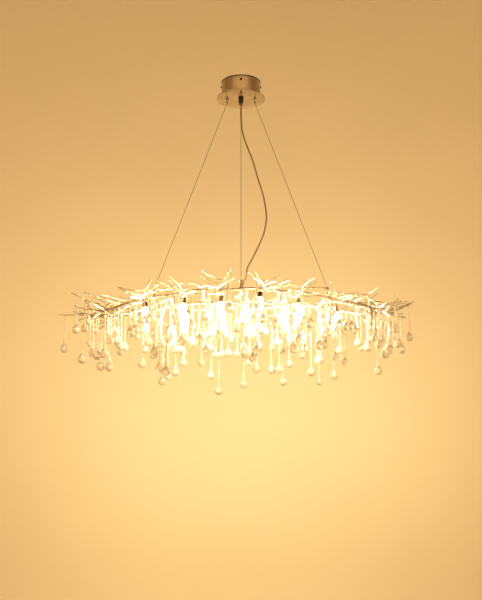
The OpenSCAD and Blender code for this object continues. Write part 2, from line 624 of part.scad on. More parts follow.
// Suspension cables run from the balls in the sockets to the grips, and on through them
function socket_at(k) = let (a = post_turns[k], r = k < 2 ? side_reach : stem_mid_y)
    [r * cos(a), r * sin(a), hang_z];
function knee_at(k) = [grip_reach * cos(post_turns[k]), grip_reach * sin(post_turns[k]), knee_z];
module between(a, b, r) {
    v = b - a;
    translate(a) rotate([0, acos(v[2] / norm(v)), atan2(v[1], v[0])]) cylinder(r = r, h = norm(v), $fn = 24);
}
sleeve_h = 11;
module suspension_cables() {
    color(steel) for (k = [0:3]) {
        foot = socket_at(k) + sleeve_h * unit(knee_at(k) - socket_at(k));
        between(foot, knee_at(k), cable_r);
        translate(knee_at(k)) sphere(r = cable_r + 0.05, $fn = 24);
        translate(knee_at(k)) cylinder(r = cable_r, h = plate_top + cable_tail - knee_z, $fn = 24);
    }
}
module cable_balls() {
    color(steel) for (k = [0:3]) {
        way = unit(knee_at(k) - socket_at(k));
        translate(socket_at(k)) sphere(r = ball_r);
        between(socket_at(k) + 0.6 * ball_r * way, socket_at(k) + sleeve_h * way, cable_r + 0.7);
    }
}
module hanger_posts() {
    color(chrome) for (k = [0:3]) {
        foot = seat + (k < 2 ? stem_z(side_reach * (k == 0 ? -1 : 1)) + cross_d / 2
            : stem_z(0) + stem_r + stem_swell(0, post_d / 2, 1));
        head_z = hang_z - socket_h + 0.5;
        p = socket_at(k);
        difference() {
            union() {
                translate([p[0], p[1], foot]) cylinder(d = post_d, h = head_z - foot + 1);
                translate([p[0], p[1], head_z]) cylinder(d = socket_d, h = socket_h);
            }
            translate(p) sphere(r = ball_r + seat);
        }
    }
}

// Stems and cross tubes
function lamp_seat(x, side, turn) =
    stem_point(x, side) + (stem_r + stem_swell(x, arm_d / 2, -1) + seat) * [0, sin(turn), -cos(turn)];
function lamp_turn(i, side) = side * lamp_tilt * [1, 0.35, -0.5][i % 3];
lamp_seats = concat([for (i = [0:len(front_lamp_xs) - 1]) [front_lamp_xs[i], -1, lamp_turn(i, -1)]],
    [for (i = [0:len(back_lamp_xs) - 1]) [back_lamp_xs[i], 1, lamp_turn(i + 1, 1)]]);
module stem(side) {
    color(chrome) pipe(stem_points(side), stem_r, stem_bore_r, 8);
}
module front_stem() {
    stem(-1);
}
module back_stem() {
    stem(1);
}
module cross_tubes() {
    color(chrome) for (x = cross_xs) {
        half = min(stem_y(x - cross_d / 2), stem_y(x + cross_d / 2)) - stem_r - seat;
        translate([x, half, stem_z(x)]) rotate([90, 0, 0]) difference() {
            cylinder(d = cross_d, h = 2 * half);
            translate([0, 0, -1]) cylinder(d = cross_d - 2 * stem_wall, h = 2 * half + 2);
        }
    }
}
module stem_wires() {
    low = stem_bore_r * cos(22.5) - lead_r - fit;
    color(clear_cord) for (side = [-1, 1], row = [0, 1]) {
        line = [for (p = stem_points(side)) if (abs(p[0]) < max(front_lamp_xs) + 11) p + [0, 0, row * (wire_d + 0.1) - low]];
        tube(line, [for (p = line) lead_r], 5);
    }
}

// Lamp arms, cups, porcelain holders and lamps, each set turned about the stem that carries it
module at_lamps() {
    for (s = lamp_seats) translate(lamp_seat(s[0], s[1], s[2])) rotate([s[2], 0, 0]) children();
}
module lamp_arms() {
    color(chrome) at_lamps() difference() {
        translate([0, 0, -arm_l]) cylinder(d = arm_d, h = arm_l);
        translate([0, 0, -arm_l - 1]) cylinder(d = arm_d - 2 * stem_wall, h = arm_l + 2);
    }
}
cup_wall = 0.8;
module holder_cups() {
    color(chrome) at_lamps() translate([0, 0, -arm_l - cup_h]) difference() {
        cylinder(d = cup_d, h = cup_h);
        translate([0, 0, -1]) cylinder(d = cup_d - 2 * cup_wall, h = cup_h + 1 - cup_wall);
        translate([0, 0, cup_h - 2]) cylinder(d = arm_d - 2 * stem_wall, h = 4);
    }
}
holder_h = cup_h - cup_wall - fit;
pin_gap = 4.5;
pin_d = 1.2;
pin_l = 8;
module lamp_holders() {
    color(porcelain) at_lamps() translate([0, 0, -arm_l - cup_h]) difference() {
        union() {
            cylinder(d = holder_d, h = holder_h);
            translate([0, 0, holder_h - 4]) cylinder(d = cup_d - 2 * cup_wall - 2 * fit, h = 4);
        }
        for (s = [-1, 1]) translate([s * pin_gap / 2, 0, -1]) cylinder(d = pin_d + 2 * fit, h = pin_l + 1.5, $fn = 24);
        translate([0, 0, pin_l + 1]) cylinder(d = arm_d - 2 * stem_wall, h = holder_h);
    }
}
module lamps() {
    r = lamp_d / 2;
    foot = -arm_l - cup_h - seat;
    color([1, 0.93, 0.78]) at_lamps() translate([0, 0, foot]) {
        rotate_extrude() polygon(concat([[0, 0], [0.8 * r, 0], [0.8 * r, -3], [r, -5]],
            [for (a = [0:15:90]) [r * cos(a), r - lamp_l - r * sin(a)]]));
        for (s = [-1, 1]) translate([s * pin_gap / 2, 0, -1]) cylinder(d = pin_d, h = pin_l + 1, $fn = 24);
    }
}

// Glass drops. A place is [point on the rod, tangent, rod radius, drop size, number, swing].
rod_groups = concat(upper_rods, lower_rods, [left_rods, right_rods]);
group_count = len(rod_groups);
ring_wire_r = ring_wire_d / 2;
eye_r = eye_d / 2;
glass_r = eye_glass_d / 2;
function drop_r(size) = (drop_small_d + size * drop_d_step) / 2;
function drop_l(size) = drop_small_l + size * drop_l_step;
function ring_r(place) = let (level = norm(flat(place[1])))
    place[2] / level + ring_wire_r + max(2, ((eye_r + eye_glass_d + 0.7) / level - eye_r + seat + 0.2) / 2);
function ring_centre(place) = place[0] + [0, 0, place[2] / norm(flat(place[1])) + seat - ring_r(place) + ring_wire_r];
function hinge_at(place) = ring_centre(place) - [0, 0, ring_r(place)];
function eye_at(place) = hinge_at(place) + [0, 0, ring_wire_r + 0.2 - eye_r];
function ball_at(place) = eye_at(place) - [0, 0, drop_l(place[3]) - drop_r(place[3])];
function swing_vector(place) = place[5] * drop_l(place[3]) * sin(swing_deg) * unit(flat(place[1]));
function place_on(g, k, t, size, swing = 0) =
    let (rod = rod_groups[g][k], shares = rod_shares(rod_groups[g], k),
        i = max([for (j = [0:len(shares) - 2]) if (shares[j] <= t) j]),
        a = curve_point(rod, shares[i]), b = curve_point(rod, shares[i + 1]),
        at = blend(a, b, (t - shares[i]) / (shares[i + 1] - shares[i])))
    [at, unit(b - a), rod_r(k, t), size, [g, k], swing];

// Drops that swing freely hang at these tips: [group, rod, size]
swing_tips = [[13, 8, 1], [13, 6, 1], [14, 8, 1], [14, 4, 1], [1, 5, 1], [3, 4, 1], [4, 4, 0], [6, 3, 1],
    [2, 9, 1]];
tip_share = 0.9;
swing_places = [for (s = swing_tips) place_on(s[0], s[1], tip_share, s[2], 1)];

// All other places: each tip, the middle of each twig, and places along each branch
function size_at(g, k, n) = let (v = vary(g * 3 + n, k)) v < -0.45 ? 0 : v < 0.5 ? 1 : 2;
twig_hangs = [tip_share, 0.7, 0.48, 0.3];
trunk_hangs = [0.97, 0.48, 0.24, 0.74];
function candidates() = [for (n = [0:3], g = [0:group_count - 1], k = [0:len(rod_groups[g]) - 1])
    if (g < group_count - 2 || k > 0) place_on(g, k, (k < 2 ? trunk_hangs : twig_hangs)[n], size_at(g, k, n))];

// A drop has room where its ball and its stem clear the rods, the lamps, the posts and the drops already hung
function flat_gap(p, a, b) = let (d = flat(b - a), l = d * d, t = l == 0 ? 0 : min(1, max(0, (flat(p - a) * d) / l)))
    [norm(flat(p - a) - t * d), a[2] + t * (b[2] - a[2])];
function rod_clear(place, a, b) =
    let (ball = ball_at(place), gap = flat_gap(ball, a, b), below = gap[1] < eye_at(place)[2] + 2,
        free = twig_d / 2 + drop_space)
    !below || gap[1] < ball[2] - drop_r(place[3]) - free
        || gap[0] > free + (gap[1] < ball[2] + 1.6 * drop_r(place[3]) ? drop_r(place[3]) : drop_stem_d / 2 + 1);
function ring_clear(place, a, b) =
    let (c = ring_centre(place), u = unit(flat(place[1])), da = (a - c) * u, db = (b - c) * u)
    da * db > 0 || norm(a + (b - a) * da / (da - db) - c) > ring_r(place) + ring_wire_r + branch_d / 2 + 0.8;
rod_lines = [for (g = [0:group_count - 1], k = [0:len(rod_groups[g]) - 1])
    [[g, k], curve_line(rod_groups[g][k], rod_shares(rod_groups[g], k))]];
function line_far(place, points) = let (a = points[0], b = points[len(points) - 1])
    norm(flat((a + b) / 2 - place[0])) > norm(b - a) / 2 + 30;
function line_clear(place, line) = let (points = line[1], own = line[0] == place[4]) line_far(place, points)
    || min([for (i = [0:len(points) - 2]) rod_clear(place, points[i], points[i + 1])
        && (own || ring_clear(place, points[i], points[i + 1])) ? 1 : 0]) == 1;
lamp_reach = arm_l + cup_h + lamp_l;
lamp_lines = [for (s = lamp_seats) let (a = lamp_seat(s[0], s[1], s[2]))
    [a, a + lamp_reach * [0, sin(s[2]), -cos(s[2])]]];
function lamp_clear(place, line) =
    let (gap = flat_gap(place[0], line[0], line[1])) gap[0] > cup_d / 2 + drop_r(place[3]) + drop_space;
stem_lines = [for (side = [-1, 1]) stem_points(side)];
function stem_clear(place) = let (gap = abs(abs(place[0][1]) - stem_y(place[0][0])))
    gap > stem_r + drop_r(place[3]) + drop_space || abs(place[0][0]) > stem_half + 20
        || (place[0][2] < stem_z(place[0][0]) - stem_r && gap > stem_r + 4);
function tube_clear(place) = abs(place[0][1]) > stem_y(place[0][0]) || place[0][2] < stem_z(place[0][0]) - stem_r - 1
    || min([for (x = cross_xs) abs(place[0][0] - x)]) > cross_d / 2 + drop_r(place[3]) + drop_space;
function post_clear(place) = min([for (k = [0:3]) norm(flat(place[0] - socket_at(k)))]) > socket_d / 2 + 10;
function fits_frame(place) = stem_clear(place) && tube_clear(place) && post_clear(place)
    && min([for (line = lamp_lines) lamp_clear(place, line) ? 1 : 0]) == 1
    && min([for (line = rod_lines) line_clear(place, line) ? 1 : 0]) == 1;

// Two drops clear each other if their balls do and if neither ball meets the other's stem.
// The path of a swinging drop counts as its place.
function path_gap(p, place) = let (s = swing_vector(place), b = ball_at(place)) flat_gap(p, b - s, b + s)[0];
function drops_clear(a, b) =
    let (ba = ball_at(a), bb = ball_at(b), ra = drop_r(a[3]), rb = drop_r(b[3]),
        gap = b[5] == 0 ? path_gap(bb, a) : path_gap(ba, b), rise = abs(ba[2] - bb[2]),
        stem = drop_stem_d / 2 + drop_space,
        meets = ba[2] < bb[2] ? eye_at(a)[2] > bb[2] - rb : eye_at(b)[2] > ba[2] - ra)
    gap > ra + rb + drop_space || (!meets && rise > ra + rb + drop_space)
        || (a[5] + b[5] == 0 && rise > 2.4 * max(ra, rb) && gap > max(ra, rb) + stem);
function drop_places() = let (fitting = [for (c = candidates()) if (fits_frame(c)) c])
    [for (i = 0, kept = swing_places; i <= len(fitting);
        kept = i < len(fitting) && len(kept) < drop_limit && min([for (p = kept) drops_clear(p, fitting[i]) ? 1 : 0]) == 1
            ? concat(kept, [fitting[i]]) : kept, i = i + 1) if (i == len(fitting)) kept][0];

// Outline of a drop: a round ball that runs up into a long thin stem
function drop_outline(r, l) =
    let (stem = drop_stem_d / 2, top = drop_top_d / 2, foot = r - l)
    concat([for (a = [0:22.5:90]) [r * sin(a), foot - r * cos(a)]],
        [for (h = [0.35, 0.7, 1.1, 1.6, 2.3]) [stem + (r - stem) * exp(-pow(h / 0.82, 1.9)), foot + h * r]],
        [[top, -eye_r - 0.5 * glass_r], [0, -eye_r - 0.5 * glass_r]]);
module glass_drop(place) {
    color(clear_glass) translate(eye_at(place)) {
        rotate_extrude($fn = 32) polygon(drop_outline(drop_r(place[3]), drop_l(place[3])));
        rotate(atan2(place[1][1], place[1][0])) rotate([90, 0, 0])
            rotate_extrude($fn = 24) translate([eye_r + glass_r, 0]) circle(r = glass_r, $fn = 16);
    }
}
module drop_rings() {
    color(steel) for (place = drop_places()) translate(ring_centre(place))
        rotate(atan2(place[1][1], place[1][0])) rotate([0, 90, 0])
            rotate_extrude($fn = 32) translate([ring_r(place), 0]) circle(r = ring_wire_r, $fn = 16);
}
module drops_in(x_side, y_side) {
    for (place = drop_places())
        if (place[5] == 0 && (place[0][0] > 0 ? 1 : -1) == x_side && (place[0][1] > 0 ? 1 : -1) == y_side)
            glass_drop(place);
}

union() {
    echo(drops = len(drop_places()));
    for (i = [0:len(swing_places) - 1]) echo(swing = i + 1, hinge = hinge_at(swing_places[i]),
        along = unit(flat(swing_places[i][1])));
}

ceiling_bracket();
canopy_drum();
canopy_plate();
plate_screws();
side_screws();
terminal_block();
terminal_screws();
earth_terminal();
canopy_leads();
grip_bodies();
grip_nuts();
grip_springs();
release(0);  // release_left
release(1);  // release_right
release(2);  // release_front
release(3);  // release_back
cord_gland();
gland_nut();
power_cord();
suspension_cables();
cable_balls();
hanger_posts();
front_stem();
back_stem();
cross_tubes();
frame_inlet();
stem_wires();
lamp_arms();
holder_cups();
lamp_holders();
lamps();
for (i = [1:len(upper_rods)]) branch(upper_rods[i - 1]);
for (i = [1:len(lower_rods)]) branch(lower_rods[i - 1]);
branch(left_rods);  // left_twigs
branch(right_rods);  // right_twigs
drop_rings();
drops_in(-1, -1);  // front_left_drops
drops_in(1, -1);  // front_right_drops
drops_in(-1, 1);  // back_left_drops
drops_in(1, 1);  // back_right_drops
for (i = [1:len(swing_tips)]) glass_drop(swing_places[i - 1]);
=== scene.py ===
# Branch pendant light with glass drops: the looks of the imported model, in metres, +Z up.
# Shapes are worked out in millimetres, as in the part's source, and scaled when a piece is finished.
import bpy
import bmesh
import random
from math import sin, cos, pi, radians, sqrt, exp, floor, atan2
from mathutils import Vector, Matrix


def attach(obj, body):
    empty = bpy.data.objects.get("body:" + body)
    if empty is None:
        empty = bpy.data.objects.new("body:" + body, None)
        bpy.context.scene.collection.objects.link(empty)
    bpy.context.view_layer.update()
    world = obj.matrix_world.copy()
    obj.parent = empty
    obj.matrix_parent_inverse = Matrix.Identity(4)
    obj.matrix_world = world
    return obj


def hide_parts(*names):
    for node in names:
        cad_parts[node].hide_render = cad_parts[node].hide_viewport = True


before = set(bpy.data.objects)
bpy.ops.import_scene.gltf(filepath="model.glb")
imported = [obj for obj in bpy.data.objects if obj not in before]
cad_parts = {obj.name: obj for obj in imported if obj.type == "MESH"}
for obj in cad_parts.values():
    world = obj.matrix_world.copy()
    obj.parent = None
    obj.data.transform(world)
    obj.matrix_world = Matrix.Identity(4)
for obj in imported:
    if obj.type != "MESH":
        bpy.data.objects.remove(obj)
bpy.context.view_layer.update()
print("frame loaded:", len(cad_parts), "nodes")

# Camera at the photograph's place, looking up a little at the light
cameraSettings = {"place": (0, -2.886, -1.3307), "tiltUp": 12.5, "lens": 60, "sensor": 36}
cameraData = bpy.data.cameras.new("camera")
cameraData.lens = cameraSettings["lens"]
cameraData.sensor_width = cameraSettings["sensor"]
camera = bpy.data.objects.new("camera", cameraData)
camera.location = cameraSettings["place"]
camera.rotation_euler = (radians(90 + cameraSettings["tiltUp"]), 0, 0)
bpy.context.scene.collection.objects.link(camera)
bpy.context.scene.camera = camera


# Sizes in millimetres that the pieces share, as the solids have them
sizes = {
    "drumD": 121, "drumTop": -3, "plateTop": -53, "plateZ": -56, "plateD": 150, "sheet": 1.5,
    "sideScrewZ": -15, "gripReach": 43, "kneeZ": -68.5, "hangZ": -654, "sideReach": 256,
    "cableD": 1.5, "ballR": 3, "sleeveH": 11, "seat": 0.25,
    "stemKnots": 10, "stemStep": 40, "stemR": 4, "stemMidY": 92, "stemEndY": 50,
    "stemMidZ": -678, "stemDroop": 55, "stemWave": 2.5, "stemWaveTurn": 88, "crossD": 7,
    "pitch": 110, "spreadY": 245, "ovalHalf": 540,
    "branchD": 4.8, "branchEndD": 3.6, "twigD": 3.4, "twigEndD": 2.6, "budD": 5,
}
postTurns = {"left": 180, "right": 0, "front": 270, "back": 90}  # where the four cables hang, in degrees
millimetre = 0.001


def blend(a, b, t):
    return a + (b - a) * t


def sinDeg(a):
    return sin(radians(a))


def cosDeg(a):
    return cos(radians(a))


# Materials: one function starts a shader, the others add a pattern to one of its sockets
def newMaterial(name, sockets):
    material = bpy.data.materials.new(name)
    material.use_nodes = True
    shader = material.node_tree.nodes["Principled BSDF"]
    for socket, value in sockets.items():
        shader.inputs[socket].default_value = value
    return material


def addNode(material, kind, inputs=None, **values):
    node = material.node_tree.nodes.new(kind)
    for name, value in values.items():
        setattr(node, name, value)
    for socket, value in (inputs or {}).items():
        if isinstance(value, bpy.types.NodeSocket):
            material.node_tree.links.new(value, node.inputs[socket])
        else:
            node.inputs[socket].default_value = value
    return node


def shaderOf(material):
    return material.node_tree.nodes["Principled BSDF"]


def noiseOf(material, scale, detail=3.0, stretch=(1, 1, 1), rough=0.5):
    place = addNode(material, "ShaderNodeTexCoord").outputs["Object"]
    if stretch != (1, 1, 1):
        place = addNode(material, "ShaderNodeMapping", {"Vector": place, "Scale": stretch}).outputs["Vector"]
    noise = addNode(material, "ShaderNodeTexNoise",
                    {"Vector": place, "Scale": scale, "Detail": detail, "Roughness": rough})
    return noise.outputs["Fac"]


def varyRoughness(material, pattern, low, high):
    spread = addNode(material, "ShaderNodeMapRange", {"Value": pattern, "From Min": 0.3, "From Max": 0.7,
                                                      "To Min": low, "To Max": high})
    material.node_tree.links.new(spread.outputs["Result"], shaderOf(material).inputs["Roughness"])


def varyColour(material, pattern, colourA, colourB, socket="Base Color", edges=(0.35, 0.65)):
    ramp = addNode(material, "ShaderNodeValToRGB", {"Fac": pattern})
    ramp.color_ramp.elements[0].position, ramp.color_ramp.elements[1].position = edges
    ramp.color_ramp.elements[0].color = (*colourA, 1)
    ramp.color_ramp.elements[1].color = (*colourB, 1)
    material.node_tree.links.new(ramp.outputs["Color"], shaderOf(material).inputs[socket])
    return ramp


def addBump(material, patterns):
    last = None
    for pattern, strength, distance in patterns:
        bump = addNode(material, "ShaderNodeBump",
                       {"Height": pattern, "Strength": strength, "Distance": distance})
        if last:
            material.node_tree.links.new(last.outputs["Normal"], bump.inputs["Normal"])
        last = bump
    material.node_tree.links.new(last.outputs["Normal"], shaderOf(material).inputs["Normal"])


def makeFinish(name, sockets, colour, rough, *bumps):  # a pattern is (scale, detail, stretch, roughness)
    material = newMaterial(name, sockets)
    varyColour(material, noiseOf(material, *colour[0]), *colour[1:])
    varyRoughness(material, noiseOf(material, *rough[0]), *rough[1:])
    addBump(material, [(noiseOf(material, *pattern), *depth) for pattern, *depth in bumps])
    return material


def makePolished(name, dark, light):  # fine drawn lines and a slow unevenness
    return makeFinish(name, {"Metallic": 1, "IOR": 1.5}, ((18, 2), dark, light),
                      ((55, 5, (1, 1, 1), 0.65), 0.05, 0.15),
                      ((2600, 2, (1, 1, 0.08)), 0.02, 0.0002), ((30, 2), 0.03, 0.001))


def makeDarkSteel(name, dark, light):  # twisted strands and black parts; on the ceiling bracket the black is painted shadow of the ceiling gap
    return makeFinish(name, {"Metallic": 1}, ((400, 2), dark, light), ((900, 3), 0.30, 0.50),
                      ((2500, 2), 0.08, 0.0001))


def makeWireSheath():  # brown and blue leads to the block, a green one to the earth stud
    material = newMaterial("wireSheath", {"Roughness": 0.35})
    place = addNode(material, "ShaderNodeTexCoord").outputs["Object"]
    axes = addNode(material, "ShaderNodeSeparateXYZ", {"Vector": place})
    isBrown = addNode(material, "ShaderNodeMath", {0: axes.outputs["X"], 1: 0.0}, operation="GREATER_THAN")
    isLead = addNode(material, "ShaderNodeMath", {0: axes.outputs["Y"], 1: -0.0006}, operation="GREATER_THAN")
    # a colour Mix node has its factor on input 0, its colours on 6 and 7, and its result on output 2
    pair = addNode(material, "ShaderNodeMix", {0: isBrown.outputs[0], 6: (0.05, 0.12, 0.45, 1),
                                               7: (0.16, 0.07, 0.035, 1)}, data_type="RGBA")
    three = addNode(material, "ShaderNodeMix", {0: isLead.outputs[0], 6: (0.12, 0.34, 0.06, 1),
                                                7: pair.outputs[2]}, data_type="RGBA")
    material.node_tree.links.new(three.outputs[2], shaderOf(material).inputs["Base Color"])
    varyRoughness(material, noiseOf(material, 500, 3), 0.28, 0.42)
    addBump(material, [(noiseOf(material, 1800, 2), 0.05, 0.0002)])
    return material


lampGlow = {"strength": 1200.0, "core": (1.0, 0.80, 0.48), "edge": (1.0, 0.66, 0.30)}


def makeLampGlass():  # frosted capsule, whose glow is deeper in colour towards its edge
    material = newMaterial("lampGlass", {"Roughness": 0.35, "IOR": 1.5,
                                         "Emission Strength": lampGlow["strength"]})
    facing = addNode(material, "ShaderNodeLayerWeight", {"Blend": 0.35})
    varyColour(material, facing.outputs["Facing"], lampGlow["core"], lampGlow["edge"], "Emission Color",
               (0.1, 0.9))
    varyColour(material, noiseOf(material, 300, 2), (0.92, 0.84, 0.68), (0.96, 0.92, 0.82))
    addBump(material, [(noiseOf(material, 1500, 2), 0.05, 0.0002)])
    return material


def makeDropGlass():  # hand drawn crystal: slow ripples, and a little haze that catches the light
    material = newMaterial("dropGlass", {"Base Color": (0.97, 0.965, 0.94, 1), "Transmission Weight": 0.86,
                                         "IOR": 1.5})
    varyRoughness(material, noiseOf(material, 60, 3), 0.0, 0.02)
    addBump(material, [(noiseOf(material, 70, 1, stretch=(1, 1, 0.5)), 0.05, 0.002)])
    return material


polishedNickel = makePolished("polishedNickel", (0.50, 0.41, 0.32), (0.56, 0.47, 0.38))
# a lighter copy of the polished nickel for the grips: painted highlight, so each shows a bright glint
nickelPaintedGlint = makePolished("nickelPaintedGlint", (0.84, 0.79, 0.71), (0.90, 0.86, 0.79))
# a dark copy of the polished finish for the holder cups: painted shade for the shadow they sit in
cupPaintedShade = makePolished("cupPaintedShade", (0.16, 0.11, 0.07), (0.26, 0.19, 0.12))
castNickel = makeFinish(  # the frame and branches: cast and plated, so a little uneven
    "castNickel", {"Metallic": 1, "IOR": 1.5}, ((70, 3), (0.42, 0.34, 0.25), (0.66, 0.57, 0.46)),
    ((160, 4, (1, 1, 1), 0.6), 0.22, 0.42), ((260, 3), 0.25, 0.0006), ((1300, 2), 0.08, 0.0002))
satinSteel = makeFinish(
    "satinSteel", {"Metallic": 1}, ((60, 2), (0.55, 0.53, 0.50), (0.68, 0.66, 0.62)),
    ((300, 4, (1, 1, 0.2)), 0.24, 0.40), ((1500, 2, (1, 1, 0.1)), 0.06, 0.0002))
cableSteel = makeDarkSteel("cableSteel", (0.10, 0.085, 0.068), (0.19, 0.165, 0.13))
# black steel of the side screws; on the ceiling bracket it is painted shadow of the gap under the ceiling
blackSteelAndGapShadow = makeDarkSteel("blackSteelAndGapShadow", (0.018, 0.013, 0.010), (0.040, 0.030, 0.024))
brass = makeFinish(
    "brass", {"Metallic": 1}, ((90, 3), (0.62, 0.46, 0.18), (0.80, 0.64, 0.32)),
    ((400, 3), 0.22, 0.42), ((1200, 2), 0.05, 0.0002))
copperCore = makeFinish(
    "copperCore", {"Metallic": 1}, ((900, 3), (0.46, 0.30, 0.15), (0.70, 0.50, 0.28)),
    ((1500, 3), 0.26, 0.44), ((2600, 2), 0.2, 0.0002))
blockPlastic = makeFinish(
    "blockPlastic", {"Subsurface Weight": 0.08, "Subsurface Radius": (0.002, 0.002, 0.0015)},
    ((120, 3), (0.80, 0.78, 0.72), (0.88, 0.87, 0.82)), ((600, 3), 0.38, 0.52), ((2500, 2), 0.06, 0.0002))
# black nylon of the release nozzles, the gland and its nut; on the ring at the canopy's top it is painted
# shadow of the ceiling gap
darkNylonAndGapShadow = makeFinish(
    "darkNylonAndGapShadow", {"IOR": 1.52}, ((200, 3), (0.022, 0.019, 0.017), (0.045, 0.038, 0.034)),
    ((700, 4), 0.34, 0.52), ((3500, 2), 0.12, 0.0001))
porcelain = makeFinish(
    "porcelain", {"Coat Weight": 0.7, "Coat Roughness": 0.06, "IOR": 1.5,
                  "Subsurface Weight": 0.12, "Subsurface Radius": (0.003, 0.0025, 0.002)},
    ((90, 3), (0.84, 0.81, 0.74), (0.91, 0.89, 0.84)), ((240, 3), 0.16, 0.30), ((420, 2), 0.10, 0.0004))
clearJacket = makeFinish(  # soft clear sheath of the power cord, slightly amber
    "clearJacket", {"Transmission Weight": 0.92, "IOR": 1.46,
                    "Subsurface Weight": 0.05, "Subsurface Radius": (0.002, 0.0014, 0.0008)},
    ((45, 3), (0.88, 0.77, 0.56), (0.95, 0.88, 0.72)), ((180, 4), 0.10, 0.24), ((420, 3), 0.10, 0.0004))
wireSheath = makeWireSheath()
lampGlass = makeLampGlass()
dropGlass = makeDropGlass()
print("materials made")


# Finishing: a shape in millimetres becomes a smooth piece in metres that rides on its body
def finishPiece(piece, material, nodes, body):
    piece.data.materials.append(material)
    if piece.name not in bpy.context.scene.collection.objects:
        bpy.context.scene.collection.objects.link(piece)
    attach(piece, body)
    if nodes:
        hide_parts(*nodes)
    return piece


def meshPiece(name, shape, material, nodes=(), body="root", sharp=38):
    shape.transform(Matrix.Scale(millimetre, 4))
    mesh = bpy.data.meshes.new(name)
    shape.to_mesh(mesh)
    shape.free()
    mesh.shade_smooth()
    mesh.set_sharp_from_angle(angle=radians(sharp))
    return finishPiece(bpy.data.objects.new(name, mesh), material, nodes, body)


def curvePiece(name, lines, material, nodes=(), body="root", roundness=3, caps=True):
    curve = bpy.data.curves.new(name, "CURVE")
    curve.dimensions = "3D"
    curve.bevel_depth = millimetre  # each point's radius is then in millimetres
    curve.bevel_resolution = roundness
    curve.use_fill_caps = caps
    for points, radii in lines:
        spline = curve.splines.new("POLY")
        spline.points.add(len(points) - 1)
        for spot, at, radius in zip(spline.points, points, radii):
            spot.co = (*(at * millimetre), 1)
            spot.radius = radius
        spline.use_smooth = True
    return finishPiece(bpy.data.objects.new(name, curve), material, nodes, body)


def curveToMesh(piece):  # a tube becomes a mesh before it gets a wall
    shown = piece.evaluated_get(bpy.context.evaluated_depsgraph_get())
    mesh = bpy.data.meshes.new_from_object(shown)
    solid = bpy.data.objects.new(piece.name + "Tube", mesh)
    for key in piece.keys():
        solid[key] = piece[key]
    bpy.context.scene.collection.objects.link(solid)
    bpy.data.objects.remove(piece)
    return solid


def addShape(target, shape, place=None):
    spare = bpy.data.meshes.new("spare")
    if place is not None:
        shape.transform(place)
    shape.to_mesh(spare)
    shape.free()
    target.from_mesh(spare)
    bpy.data.meshes.remove(spare)


def spunShape(outline, steps=32, closed=False):  # an outline of (radius, height) turned about the Z axis
    shape = bmesh.new()
    corners = [shape.verts.new((r, 0, z)) for r, z in outline]
    for a, b in zip(corners, corners[1:] + corners[:1] if closed else corners[1:]):
        shape.edges.new((a, b))
    bmesh.ops.spin(shape, geom=shape.verts[:] + shape.edges[:], cent=(0, 0, 0), axis=(0, 0, 1),
                   angle=2 * pi, steps=steps, use_merge=True, use_duplicate=False)
    bmesh.ops.remove_doubles(shape, verts=shape.verts, dist=0.0005)
    bmesh.ops.recalc_face_normals(shape, faces=shape.faces)
    return shape


def softEdges(shape, width, angle=40, segments=2):  # bevels the edges sharper than the angle
    edges = [e for e in shape.edges if len(e.link_faces) == 2 and e.calc_face_angle(0) > radians(angle)]
    bmesh.ops.bevel(shape, geom=edges, offset=width, offset_type="OFFSET", affect="EDGES", segments=segments,
                    profile=0.5, material=-1, clamp_overlap=True)
    return shape


def standAt(at, way=(0, 0, 1)):  # a turn that stands a spun shape on a point, along a direction
    return Matrix.Translation(Vector(at)) @ Vector(way).to_track_quat("Z", "Y").to_matrix().to_4x4()


# Power cord: it bows out to the right and comes back to the frame's inlet, on the solid's route
cordSettings = {
    "radius": 2.5, "length": 0.612, "exit": (0, 0, -70),
    "route": [(0, 0, -78), (0, -1, -90), (0, -4, -112), (1, -8, -140), (4, -11, -165), (13, -15, -200),
              (24, -19, -232), (37, -24, -270), (52, -31, -328), (64, -36, -370), (71, -40, -405),
              (75, -45, -441), (74, -49, -468), (69, -52, -495), (60, -56, -522), (46, -60, -554),
              (31, -64, -586), (18, -67, -612)],
    "inletKnots": (18, 7, 0), "steps": 8,
    "cores": 3, "coreOffset": 1.0, "coreRadius": 0.78, "coreSteps": 16, "layLength": 38,
}
inletSettings = {"tilt": 27, "d": 9, "h": 14, "neck": 7, "footShare": 0.72, "ball": 0.6}


def knotY(i):
    return blend(sizes["stemMidY"], sizes["stemEndY"], (i / sizes["stemKnots"]) ** 2)


def knotZ(i):
    droop = sizes["stemDroop"] * (i / sizes["stemKnots"]) ** 2
    return sizes["stemMidZ"] - droop + sizes["stemWave"] * sinDeg(sizes["stemWaveTurn"] * i)


def alongStem(knot, x):
    i = floor(x / sizes["stemStep"])
    return blend(knot(i), knot(i + 1), x / sizes["stemStep"] - i)


def stemY(x):
    return alongStem(knotY, x)


def stemZ(x):
    return alongStem(knotZ, x)


def stemSwell(x, r, way):  # how far the stem stands out, up or down, within r of x
    return max(way * (stemZ(x + d) - stemZ(x)) for d in (-r, 0, r))


inletFoot = Vector((0, -inletSettings["footShare"] * sizes["stemMidY"],
                    stemZ(0) + sizes["crossD"] / 2 + sizes["seat"]))
inletLean = Vector((sinDeg(inletSettings["tilt"]), 0, cosDeg(inletSettings["tilt"])))
inletNeck = inletFoot + Vector((0, 0, inletSettings["neck"]))
inletFace = inletNeck + inletSettings["h"] * inletLean


def smoothRoute(points, steps):  # a smooth line through the points
    line = []
    for i in range(len(points) - 1):
        a, b, c, d = (points[max(i - 1, 0)], points[i], points[i + 1], points[min(i + 2, len(points) - 1)])
        for s in range(steps):
            t = s / steps
            line.append(0.5 * (2 * b + (c - a) * t + (2 * a - 5 * b + 4 * c - d) * t * t
                               + (3 * b - a - 3 * c + d) * t ** 3))
    return line + [points[-1]]


